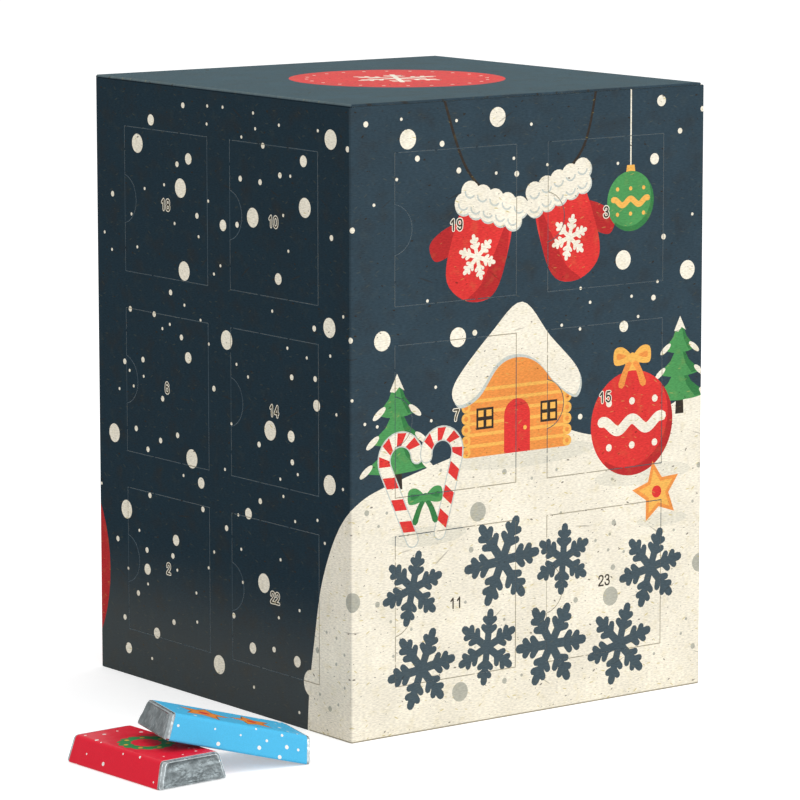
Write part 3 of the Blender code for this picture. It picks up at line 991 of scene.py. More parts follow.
@dataclass
class StripPrint:
    """The picture that runs round the box: a sky over snow hills; the back and left walls' navy is painted
    shade, darker than the front's.

    Attributes:
        seed: settles where the snow falls.
        flake_sizes: radius, number and least spacing of each size of snow dot round the box.
        flake_gap: least gap between any two dots.
        flake_margin: how far a dot keeps from another thing's edge.
        tries: how often a place is sought for each dot.
        foot_line: height of the grey line along the foot, painted shade on the fold to the base.
    """

    seed: int = 11
    flake_sizes: tuple[tuple[float, int, float], ...] = (
        (2.65, 48, 19.0), (1.55, 34, 15.0), (0.80, 130, 7.0), (0.45, 240, 4.0),
    )
    flake_gap: float = 2.0
    flake_margin: float = 0.8
    tries: int = 60
    foot_line: float = 0.4

    def hills(self) -> list[Shape]:
        """Draw the snow that the picture stands on, its soft shadows, and a grey line of painted shade along
        the foot.

        Returns:
            The shapes.
        """
        right, back, left = WIDE_MM, 2 * WIDE_MM, -WIDE_MM
        crest = [
            (left + 100, -6), (left + 101, 10), (left + 103.5, 25), (left + 107, 41), (left + 114, 55.5),
            (3, 64), (16, 68.5), (34, 73), (50, 77), (66, 78), (82, 74), (98, 75), (112, 81),
            (right + 6, 84), (right + 26, 76), (right + 52, 58), (right + 78, 50), (right + 104, 60),
            (back + 10, 66), (back + 40, 56), (back + 66, 47), (back + 88, 38), (back + 104, 29),
            (back + 114, 14), (back + 118, -6),
        ]
        ground = turn_out([*spline(crest, 8, False), (back + 118, -8), (left + 100, -8)])
        bump = oval((left + 102, 13), 3.4, 3.6, 24)
        shadows = [
            (25, 52.5, 13, 2.6), (57, 71, 25, 3.2), (99, 61.5, 17, 3.0), (106, 48, 9, 1.9),
            (right + 30, 73, 15, 2.4), (right + 94, 49, 22, 3.0), (right + 64, 22, 8, 1.8),
            (back + 26, 57, 14, 2.4),
        ]
        soft = [oval((x, y), wide, high, 36) for x, y, wide, high in shadows]
        start, end = left + 101, back + 116
        # A grey strip along the foot: painted shade on the fold to the base.
        foot = turn_out([(start, -6), (end, -6), (end, self.foot_line), (start, self.foot_line)])
        return [
            Shape(Ink.SNOW, [ground]), Shape(Ink.SNOW, [bump]), Shape(Ink.SNOW_SOFT, soft),
            Shape(Ink.CUT_PALE, [foot]),
        ]

    def figures_on(self) -> list[Shape]:
        """Draw the winter things.

        Returns:
            The shapes, from the back to the front.
        """
        draw, right, back, top = Motifs, WIDE_MM, 2 * WIDE_MM, TALL_MM + 1
        red = (Ink.RED, Ink.RED_DEEP, Ink.SNOW)
        green = (Ink.GREEN, Ink.GREEN_DEEP, Ink.AMBER)
        gold = (Ink.AMBER, Ink.ORANGE, Ink.RED)
        string = spline([(30, top), (38, 149), (50, 140), (64, 142), (77, 152), (82, top)], 7, False)
        flakes = (
            (20, 39, 9.2, 2.2, 0.3), (50, 43, 11.6, 2.6, 0.1), (71, 41, 8.8, 2.2, 0.45),
            (102, 35, 10.2, 2.4, 0.2), (23, 17, 10.2, 2.4, 0.15), (45, 20, 9.4, 2.2, 0.4),
            (67, 18, 11.0, 2.6, 0.0), (91, 15, 10.4, 2.4, 0.25),
            (right + 28, 30, 11, 2.4, 0.2), (right + 92, 24, 10, 2.3, 0.35),
            (back + 26, 28, 11, 2.4, 0.1), (back + 41, 12, 7.2, 1.9, 0.4),
        )
        return [
            Shape(Ink.SOOT, [ribbon(string, 0.8, 3)]),
            *draw.mitten((45, 137), 24, -0.30, -1), *draw.mitten((69, 140), 24, 0.32, 1),
            *draw.bauble((94, 137), 8.2, green, top), *draw.fir((15, 66), 34, False),
            *draw.cabin((55, 72), 34), *draw.fir((112, 77), 30, False),
            *draw.bauble((95, 76), 14.5, red, None), *draw.bow((95, 94), 6.2, Ink.AMBER, Ink.ORANGE),
            *draw.candy_cane((20, 52), 27, 0.42, 1), *draw.candy_cane((29, 53), 26, -0.28, -1),
            *draw.bow((24.2, 63), 5.4, Ink.GREEN, Ink.GREEN_DEEP),
            Shape(Ink.ORANGE, [star((104, 56), 8.8, 4.3, 5, 1.75)]),
            Shape(Ink.AMBER, [star((104, 56), 6.4, 3.1, 5, 1.75)]),
            Shape(Ink.RED, [oval((104, 56), 1.7, 1.7, 20)]),
            *(snowflake(Ink.FROST_BLUE, (x, y), *arms) for x, y, *arms in flakes),
            *draw.fir((right + 28, 74), 44, True), *draw.fir((right + 52, 56), 30, False),
            *draw.cabin((right + 92, 50), 30), *draw.bauble((right + 64, 132), 10.0, red, top),
            *draw.bauble((right + 86, 143), 7.0, gold, top),
            *draw.bauble((right + 43, 146), 6.4, green, top),
            *draw.candy_cane((right + 62, 22), 30, 0.30, 1),
            *draw.bow((right + 57.5, 33), 5.0, Ink.GREEN, Ink.GREEN_DEEP),
            *draw.fir((back + 24, 58), 40, False), *draw.fir((back + 46, 50), 30, True),
            *draw.bauble((back + 87, 29), 38, red, None),
            *draw.bow((back + 87, 73), 11, Ink.AMBER, Ink.ORANGE),
            *draw.mitten((back + 60, 136), 22, -0.22, -1), *draw.mitten((back + 82, 138), 22, 0.26, 1),
        ]

    def snowfall(self, hills: list[Shape], others: list[Shape]) -> list[Shape]:
        """Scatter the snow: pale in the sky and grey on the hills, and never half under another thing.

        Args:
            hills: the snow ground's shapes.
            others: the winter things' shapes.

        Returns:
            The dots.
        """
        dice = random.Random(self.seed)
        placed: list[tuple[float, float, float]] = []
        dots = []
        for radius, count, spacing in self.flake_sizes:
            for _ in range(count):
                for _ in range(self.tries):
                    x, y = dice.uniform(0, STRIP_MM), dice.uniform(4, TALL_MM - 4)
                    gap = TALL_MM
                    for a, b, other in placed:
                        far = math.hypot((x - a + STRIP_MM / 2) % STRIP_MM - STRIP_MM / 2, y - b)
                        least = spacing - self.flake_gap if other == radius else other + radius
                        gap = min(gap, far - least)
                    reaches = (radius + self.flake_margin, radius * 0.6, radius * 0.2)
                    rim = np.concatenate([oval((x, y), reach, reach, 12) for reach in reaches])
                    edge = np.vstack((rim, rim - (STRIP_MM, 0)))
                    on_hill = np.any([shape.holds(edge) for shape in hills[:2]], axis=0)
                    snow = on_hill.reshape(2, -1).any(axis=0)
                    taken = any(shape.holds(edge).any() for shape in others)
                    if gap > self.flake_gap and snow.all() == snow.any() and not taken:
                        placed.append((x, y, radius))
                        ink = Ink.FLAKE_GREY if snow.all() else Ink.SNOW
                        steps = max(12, int(14 * math.sqrt(radius)))
                        dots.append(Shape(ink, [oval((x, y), radius, radius, steps)]))
                        break
        return dots

    def on_wall(self, turns: int, shapes: list[Shape]) -> list[Shape]:
        """Give what falls on one wall, along from that wall's left corner.

        Args:
            turns: the wall's place round the box, from 0 at the front.
            shapes: the whole strip's shapes.

        Returns:
            Moved copies of those that reach the wall.
        """
        found = []
        for shape in shapes:
            low, high = shape.reach()
            for lap in (-STRIP_MM, 0, STRIP_MM):
                shift = lap - turns * WIDE_MM
                if high[0] + shift > -2 and low[0] + shift < WIDE_MM + 2:
                    found.append(shape.placed((shift, 0)))
        return found


@dataclass
class Profile:
    """A sheet's cross-section: straight runs joined by round folds.

    Attributes:
        corners: the points it runs through, with the outer radius of the fold at each.
        start: distance along the print at the first point.
        inward: 1 where the sheet's back lies to the left of the way along it, -1 to the right.
        steps: how many straight runs make one fold.
        lead: length of the short flat run that keeps the shading of a fold off the flat faces.
    """

    corners: Sequence[tuple[float, float, float]]
    start: float
    inward: int
    steps: int = 6
    lead: float = 0.1

    def __post_init__(self) -> None:
        """Work out the points along it and the way in from each."""
        spots, ways = [], []
        places = [np.array(corner[:2]) for corner in self.corners]
        for i, (place, corner) in enumerate(zip(places, self.corners)):
            before = place - places[i - 1] if i else places[1] - place
            after = places[i + 1] - place if i + 1 < len(places) else before
            before, after = before / np.linalg.norm(before), after / np.linalg.norm(after)
            turn = math.atan2(before[0] * after[1] - before[1] * after[0], float(before @ after))
            if not corner[2]:
                spots.append(place)
                ways.append(self.side(after if i == 0 else before))
                continue
            back = corner[2] * math.tan(abs(turn) / 2)
            bend = corner[2] * math.copysign(1, turn * self.inward)
            heart = place - before * back + self.side(before) * bend
            spots.append(place - before * (back + self.lead))
            ways.append(self.side(before))
            for step in range(self.steps + 1):
                angle = turn * step / self.steps
                c, s = math.cos(angle), math.sin(angle)
                way = self.side(np.array((before[0] * c - before[1] * s, before[0] * s + before[1] * c)))
                spots.append(heart - way * bend)
                ways.append(way)
            spots.append(place + after * (back + self.lead))
            ways.append(self.side(after))
        self.spots, self.ways = np.array(spots), np.array(ways)
        gaps = np.linalg.norm(np.diff(self.spots, axis=0), axis=1)
        self.along = self.start + np.concatenate(([0], np.cumsum(gaps)))

    def side(self, way: np.ndarray) -> np.ndarray:
        """Give the unit vector that points into the sheet, for a way along it."""
        return np.array((-way[1], way[0])) * self.inward

    def place(self, along: np.ndarray, depth: np.ndarray) -> np.ndarray:
        """Find points of the cross-section.

        Args:
            along: distances along the print.
            depth: distances in from the printed face.

        Returns:
            The points, one to a row.
        """
        spot, way = (
            np.column_stack([np.interp(along, self.along, values) for values in knots.T])
            for knots in (self.spots, self.ways)
        )
        way /= np.linalg.norm(way, axis=1)[:, None]
        return spot + way * depth[:, None]


@dataclass
class DoorCut:
    """The cut round one door: two sides cut and nicked, the crease on the right, and a half-round thumb tab.

    Attributes:
        number: the door's number.
        left, bottom, width, height: the door's rectangle on its wall.
        clearance: the gap between the two solids, which the knife's line halves.
        tab_chord, tab_depth: the tab's length along the wall and its reach into the door.
        half_gap, nick_gap: half the width of the cut, and of the fine line left at a nick.
        press, press_depth: breadth and depth of the rims that the knife presses down.
        nick: length of a nick.
        arc_steps: how many straight runs make the tab's arc.
    """

    number: int
    left: float
    bottom: float
    width: float
    height: float
    clearance: float = 0.3
    tab_chord: float = 13.1
    tab_depth: float = 5.6
    half_gap: float = 0.015
    nick_gap: float = 0.004
    press: float = 0.11
    press_depth: float = 0.08
    nick: float = 0.75
    arc_steps: int = 22

    def __post_init__(self) -> None:
        """Work out the line that the knife follows, and its nicks: place, axis and the way into the door."""
        ease = self.clearance / 2
        self.low = np.array((self.left - ease, self.bottom - ease))
        self.high = np.array((self.left + self.width + ease, self.bottom + self.height + ease))
        tab_radius = (self.tab_chord**2 / 4 + self.tab_depth**2) / (2 * self.tab_depth)
        self.radius = tab_radius + ease
        tab_edge = self.left - self.clearance + self.tab_depth
        self.heart = np.array((tab_edge - tab_radius, self.bottom + self.height / 2))
        self.chord = math.sqrt(self.radius**2 - (self.low[0] - self.heart[0]) ** 2)
        (x, y), (wide, high) = self.low, self.high - self.low
        top = self.high[1]
        self.nicks = [
            (x + wide / 3, y, 0, 1), (x + wide * 2 / 3, y, 0, 1), (x + 0.8, top, 0, -1),
            (x + wide / 3, top, 0, -1), (x + wide * 2 / 3, top, 0, -1), (x, y + 0.16 * high, 1, 1),
            (x, y + 0.84 * high, 1, 1),
        ]

    def distance(self, places: np.ndarray) -> np.ndarray:
        """Give each place's distance inside the knife's line, negative outside it."""
        box = np.minimum(places - self.low, self.high - places).min(axis=1)
        return np.minimum(box, np.linalg.norm(places - self.heart, axis=1) - self.radius)

    def nicked(self, places: np.ndarray) -> np.ndarray:
        """Say which places lie at a nick, where the knife leaves the board whole.

        Args:
            places: an array of points, one to a row.

        Returns:
            True for each point at a nick.
        """
        at_nick = np.zeros(len(places), bool)
        for x, y, axis, _ in self.nicks:
            apart = np.abs(places - (x, y))
            near = apart[:, 1 - axis] < self.press + 2 * self.half_gap
            at_nick |= (apart[:, axis] < self.nick / 2) & near
        return at_nick

    def line(self, inset: float, nick_inset: float | None = None) -> Loop:
        """Follow the knife's line at a distance.

        Args:
            inset: how far inside the line, negative outside it.
            nick_inset: the same at the nicks, or None to pass them straight.

        Returns:
            The closed outline.
        """
        (left, bottom), (right, top) = self.low + inset, self.high - inset
        x, y = self.heart
        radius = self.radius + inset
        reach = math.acos((left - x) / radius)
        rise = radius * math.sin(reach)
        step = None if nick_inset is None else nick_inset - inset
        angles = np.linspace(reach, -reach, self.arc_steps + 1)
        arc = np.column_stack((x + radius * np.cos(angles), y + radius * np.sin(angles)))
        return np.array([
            (left, bottom), *self.steps_on((left, bottom), right, 0, 1, step), (right, bottom), (right, top),
            *self.steps_on((right, top), left, 0, -1, step), (left, top),
            *self.steps_on((left, top), y + rise, 1, 1, step), *arc,
            *self.steps_on((left, y - rise), bottom, 1, 1, step),
        ])

    def steps_on(self, begin: Point, end: float, axis: int, inward: int, step: float | None) -> list[Point]:
        """Give the steps that the nicks make in one straight side.

        Args:
            begin: where the side begins.
            end: how far it runs along its axis.
            axis: 0 for a level side, 1 for an upright one.
            inward: the way into the door across it.
            step: how far the line steps inward at a nick, or None to pass straight.

        Returns:
            The corners of the steps, in order.
        """
        low, high = sorted((begin[axis], end))
        way = 1 if end > begin[axis] else -1
        own = [nick[axis] for nick in self.nicks if nick[2:] == (axis, inward)]
        middles = [middle for middle in own if low < middle < high]
        points = []
        for middle in sorted(middles, reverse=way < 0) if step is not None else ():
            for turn, across in ((-1, 0), (-1, step), (1, step), (1, 0)):
                along, level = middle + turn * way * self.nick / 2, begin[1 - axis] + inward * across
                points.append((along, level) if axis == 0 else (level, along))
        return points

    def cross_lines(self) -> list[np.ndarray]:
        """Draw short lines across the pressed rim at the ends of each nick.

        Returns:
            The lines.
        """
        lines = []
        for x, y, axis, _ in self.nicks:
            for end in (-self.nick / 2, self.nick / 2):
                for side in (-1, 1):
                    near, far = side * self.nick_gap, side * (self.half_gap + self.press)
                    if axis == 0:
                        lines.append(np.array([(x + end, y + near), (x + end, y + far)]))
                    else:
                        lines.append(np.array([(x + near, y + end), (x + far, y + end)]))
        return lines


@dataclass
class Groove:
    """A straight line pressed into a sheet.

    Attributes:
        begin, end: its ends.
        width: its width.
        depth: its depth in the middle.
    """

    begin: Point
    end: Point
    width: float = 0.16
    depth: float = 0.06

    def __post_init__(self) -> None:
        """Work out its length and the ways along and across it."""
        self.ends = np.array(self.begin, float), np.array(self.end, float)
        run = self.ends[1] - self.ends[0]
        self.length = np.linalg.norm(run)
        self.way = run / self.length
        self.across = np.array((-self.way[1], self.way[0]))

    def lines(self) -> list[np.ndarray]:
        """Draw its middle line and its two rims.

        Returns:
            The lines.
        """
        a, b = self.ends
        across, inset = self.across * self.width / 2, self.way * self.width
        rim = [a, a + inset + across, b - inset + across, b, b - inset - across, a + inset - across, a]
        return [np.array([a, b]), np.array(rim)]

    def apart(self, places: np.ndarray) -> np.ndarray:
        """Measure how far places are from its middle line.

        Args:
            places: an array of points, one to a row.

        Returns:
            Each point's distance, and a large one past the groove's ends.
        """
        rel = places - self.ends[0]
        along, far = rel @ self.way, np.abs(rel @ self.across)
        inside = (along > self.width / 2) & (along < self.length - self.width / 2)
        return np.where(inside, far, WIDE_MM)


@dataclass
class BoardSheet:
    """A printed sheet, cut and folded into closed solids.

    Attributes:
        outline: the sheet's outline, along and across.
        shapes: what is printed on it, from the back to the front.
        ground: the ink under them.
        profile: how it is folded along its length.
        place: turns a point of the cross-section, and its distance across, into a place in the room.
        thickness: the board's thickness.
        doors: the doors cut out of it.
        grooves: the lines pressed into it.
        soften: how far its two long edges are rounded off.
        rim_ink: the ink on its cut rim.
        back_ink: the ink on its back.
        crease_deg: the angle between two faces from which their edge stays sharp.
    """

    outline: Loop
    shapes: list[Shape]
    ground: Ink | str
    profile: Profile
    place: Callable[[np.ndarray, np.ndarray], np.ndarray]
    thickness: float
    doors: list[DoorCut] = field(default_factory=list)
    grooves: list[Groove] = field(default_factory=list)
    soften: float = 0.0
    rim_ink: Ink | str = Ink.PLAIN
    back_ink: Ink | str = Ink.PLAIN
    crease_deg: float = 24.0

    def triangles(self) -> tuple[np.ndarray, np.ndarray]:
        """Divide the sheet into triangles along every printed edge, cut and fold.

        Returns:
            The points, and the three point numbers of each triangle.
        """
        points: list[np.ndarray] = []
        edges: list[tuple[int, int]] = []

        def draw(line: np.ndarray, closed: bool) -> None:
            """Add a line's points and edges.

            Args:
                line: its points.
                closed: whether the last one leads back to the first.
            """
            first = sum(len(p) for p in points)
            points.append(line)
            count = len(line)
            edges.extend((first + i, first + (i + 1) % count) for i in range(count if closed else count - 1))

        draw(self.outline, True)
        low, high = self.outline.min(axis=0), self.outline.max(axis=0)
        for along in self.profile.along:
            if low[0] < along < high[0]:
                draw(np.array([(along, low[1]), (along, high[1])]), False)
        if self.soften:
            for level in (low[1] + self.soften, high[1] - self.soften):
                draw(np.array([(low[0], level), (high[0], level)]), False)
        for shape in self.shapes:
            for loop in shape.loops:
                draw(loop, True)
        for door in self.doors:
            for side in (-1, 1):
                draw(door.line(side * door.half_gap, side * door.nick_gap), True)
                draw(door.line(side * (door.half_gap + door.press)), True)
            for line in door.cross_lines():
                draw(line, False)
        for groove in self.grooves:
            for line in groove.lines():
                draw(line, False)
        flat = np.concatenate(points)
        cut = geometry.delaunay_2d_cdt([Vector(p) for p in flat], edges, [], 0, 1e-4, False)
        places = np.array([tuple(v) for v in cut[0]])
        return places, np.array(cut[2])

    def inks_at(self, places: np.ndarray) -> list[Ink | str]:
        """Find the inks that show.

        Args:
            places: an array of points, one to a row.

        Returns:
            The ink at each point.
        """
        inks: list[Ink | str] = [self.ground] * len(places)
        for shape in self.shapes:
            for i in np.flatnonzero(shape.holds(places)):
                inks[i] = shape.ink
        cut = np.zeros(len(places), bool)
        for groove in self.grooves:
            cut |= groove.apart(places) < groove.width / 2
        for door in self.doors:
            near = np.abs(door.distance(places)) < door.half_gap + door.press
            cut |= near & ~door.nicked(places)
        for i in np.flatnonzero(cut):
            pale = inks[i] in (Ink.SNOW, Ink.SNOW_SHADE, Ink.FLAKE_GREY, Ink.PLAIN)
            inks[i] = Ink.CUT_PALE if pale else Ink.CUT
        return inks

    def parts_at(self, places: np.ndarray) -> np.ndarray:
        """Find which part each place belongs to.

        Args:
            places: an array of points, one to a row.

        Returns:
            For each point -1 where it is cut away, 0 on the sheet, and a door's number on that door.
        """
        parts = np.where(Shape(self.ground, [self.outline]).holds(places), 0, -1)
        for door in self.doors:
            inside = door.distance(places)
            gap = np.where(door.nicked(places), door.nick_gap, door.half_gap)
            parts[inside >= gap] = door.number
            parts[np.abs(inside) < gap] = -1
        return parts

    def depths(self, places: np.ndarray) -> np.ndarray:
        """Find how far the printed face is pressed in.

        Args:
            places: an array of points, one to a row.

        Returns:
            The depth at each point.
        """
        depth = np.zeros(len(places))
        low, high = self.outline.min(axis=0)[1], self.outline.max(axis=0)[1]
        if self.soften:
            at_edge = (np.abs(places[:, 1] - low) < 1e-3) | (np.abs(places[:, 1] - high) < 1e-3)
            depth[at_edge] = self.soften * 0.7
        for groove in self.grooves:
            depth[groove.apart(places) < 0.01] = groove.depth
        for door in self.doors:
            at_cut = np.abs(np.abs(door.distance(places)) - door.half_gap) < 0.012
            depth[at_cut] = door.press_depth
        return depth

    def build(self, names: dict[int, str], material_of: Callable[[Ink | str], Material]) -> dict:
        """Make the solids.

        Args:
            names: the piece's name for each part: 0 is the sheet.
            material_of: gives the material for an ink.

        Returns:
            The new object of each part.
        """
        places, faces = self.triangles()
        middles = places[faces].mean(axis=1)
        inks = self.inks_at(middles)
        parts = self.parts_at(middles)
        depth = self.depths(places)
        front = self.place(self.profile.place(places[:, 0], depth), places[:, 1])
        behind = np.full(len(places), self.thickness)
        back = self.place(self.profile.place(places[:, 0], behind), places[:, 1])
        made = {}
        for part, name in names.items():
            chosen = np.flatnonzero(parts == part)
            made[part] = self.solid(name, faces[chosen], [inks[i] for i in chosen], front, back, material_of)
        return made

    def solid(
        self, name: str, faces: np.ndarray, inks: list[Ink | str], front: np.ndarray, back: np.ndarray,
        material_of: Callable[[Ink | str], Material],
    ) -> Object:
        """Close one part into a solid: its printed face, its back and its rim.

        Args:
            name: the piece's name.
            faces: its triangles.
            inks: the ink of each.
            front: every point of the printed face.
            back: every point of the back.
            material_of: gives the material for an ink.

        Returns:
            The object.
        """
        used = np.unique(faces)
        number = {old: new for new, old in enumerate(used)}
        count = len(used)
        verts = np.vstack((front[used], back[used])) * MM
        order: list[Ink | str] = list(dict.fromkeys([*inks, self.back_ink, self.rim_ink]))
        ring = {}
        polygons = []
        slots = []
        for face, ink in zip(faces, inks):
            a, b, c = (number[i] for i in face)
            polygons += [(a, b, c), (c + count, b + count, a + count)]
            slots += [order.index(ink), order.index(self.back_ink)]
            for edge in ((a, b), (b, c), (c, a)):
                ring[edge] = True
        for a, b in ring:
            if (b, a) not in ring:
                polygons.append((b, a, a + count, b + count))
                slots.append(order.index(self.rim_ink))
        mesh = bpy.data.meshes.new(name)
        mesh.from_pydata(verts.tolist(), [], polygons)
        for ink in order:
            mesh.materials.append(material_of(ink))
        mesh.polygons.foreach_set("material_index", slots)
        return finish_mesh(mesh, self.crease_deg)


@dataclass
class Carton:
    """The four printed walls with their doors, and the base.

    Attributes:
        board: the board's thickness.
        fold: outer radius of a folded corner.
        lid_gap: what is left between the walls and the lid.
        seam: what is left between two walls at a corner.
        tab_rest: how far the crease of a thumb tab ends short of its tips.
        figure_height: height of a door's number.
        figure_stroke: width of its lines.
        figure_halo: width of the pale line round it.
    """

    board: float = 0.6
    fold: float = 0.45
    lid_gap: float = 0.04
    seam: float = 0.01
    tab_rest: float = 0.3
    figure_height: float = 3.2
    figure_stroke: float = 0.46
    figure_halo: float = 0.26

    def upright(self, ink: Ink) -> Material:
        """Give the material of a standing sheet in an ink."""
        return GrassBoard(ink, Lay.UPRIGHT).material()

    def level(self, ink: Ink) -> Material:
        """Give the material of a level sheet in an ink."""
        return GrassBoard(ink, Lay.LEVEL).material()

    def doors_on(self, turns: int) -> list[DoorCut]:
        """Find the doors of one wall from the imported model.

        Args:
            turns: the wall's place round the box, from 0 at the front.

        Returns:
            Its doors' cuts.
        """
        back = Matrix.Rotation(-turns * math.pi / 2, 3, "Z")
        doors = []
        for number in range(1, DOORS + 1):
            corners = [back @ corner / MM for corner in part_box(f"door_{number:02d}")]
            low = Vector(map(min, *corners))
            high = Vector(map(max, *corners))
            if abs(low.y + HALF / MM) < self.board / 2 and high.y - low.y < 2 * self.board:
                left = low.x + HALF / MM
                doors.append(DoorCut(number, left, low.z, high.x - low.x, high.z - low.z))
        return doors

    def numbers(self, doors: list[DoorCut]) -> list[Shape]:
        """Print the doors' numbers, each with its pale halo.

        Args:
            doors: a wall's doors.

        Returns:
            The shapes.
        """
        shapes = []
        for door in doors:
            middle = (door.left + door.width / 2, door.bottom + door.height / 2)
            size = (str(door.number), middle, self.figure_height, self.figure_stroke)
            shapes.append(Shape(Ink.SNOW, figures(*size, self.figure_halo)))
            shapes.append(Shape(Ink.FIGURE, figures(*size)))
        return shapes

    def wall(self, turns: int, shapes: list[Shape]) -> None:
        """Build one wall and its doors.

        Args:
            turns: the wall's place round the box, from 0 at the front.
            shapes: what is printed on it.
        """
        side = WALL_NODES[turns]
        doors = self.doors_on(turns)
        top = TALL_MM - self.board - self.lid_gap
        lead = Profile.lead
        arc_start = self.fold - self.fold * math.pi / 2
        corners = [(0, self.fold + lead, 0), (0, 0, self.fold), (WIDE_MM - self.fold - self.seam, 0, 0)]
        profile = Profile(corners, arc_start - lead, 1)
        shift = self.fold + lead - profile.along[-2]
        profile.along = profile.along + shift
        end = profile.along[-1]
        outline = np.array([(profile.along[1], 0), (end, 0), (end, top), (profile.along[1], top)])
        turn = Matrix.Rotation(turns * math.pi / 2, 3, "Z")
        spin = np.array(turn)

        def place(section: np.ndarray, up: np.ndarray) -> np.ndarray:
            """Stand the sheet on its side of the box."""
            flat = np.column_stack((section[:, 0] - HALF / MM, section[:, 1] - HALF / MM, up))
            return flat @ spin.T

        grooves = []
        for door in doors:
            x, middle = door.low[0], door.heart[1]
            reach = door.chord - self.tab_rest
            grooves.append(Groove((x, middle - reach), (x, middle + reach)))
        # The back and left walls take the darker navy: painted shade on the sides away from the key lamp.
        ground = Ink.NIGHT if turns < 2 else Ink.NIGHT_DEEP
        sheet = BoardSheet(
            outline, shapes + self.numbers(doors), ground, profile, place, self.board, doors, grooves,
            soften=0.22,
        )
        names = {0: f"{side}_wall_printed"}
        names |= {door.number: f"door_{door.number:02d}_printed" for door in doors}
        made = sheet.build(names, self.upright)
        hand_over(made[0], f"{side}_panel", "carton")
        for door in doors:
            node = f"door_{door.number:02d}"
            hand_over(made[door.number], node, node)
        log.info("%s wall: %d doors, %d faces", side, len(doors), len(made[0].data.polygons))

    def base(self) -> None:
        """Build the base: a sheet of plain board whose closing flaps meet on two slanted lines."""
        inset = self.board + 0.05
        reach = HALF / MM - inset
        profile = Profile([(-reach, 0, 0), (reach, 0, 0)], -reach, 1)
        outline = np.array([(-reach, -reach), (reach, -reach), (reach, reach), (-reach, reach)])

        third = reach / 3
        runs = (
            ((-reach + 4, 0), (-third, 0)), ((-third, 0), (third, third)),
            ((third, third), (reach - 4, third)), ((-third, 0), (-third, -reach + 3)),
            ((third, third), (third, reach - 3)),
        )
        grooves = [Groove(begin, end, width=0.3, depth=0.12) for begin, end in runs]
        sheet = BoardSheet(
            outline, [], Ink.PLAIN, profile, laid_flat, self.board, grooves=grooves, soften=0.15,
        )
        made = sheet.build({0: "base_flaps_folded"}, self.level)[0]
        hand_over(made, "base_panel", "carton")
        log.info("base: %d faces", len(made.data.polygons))


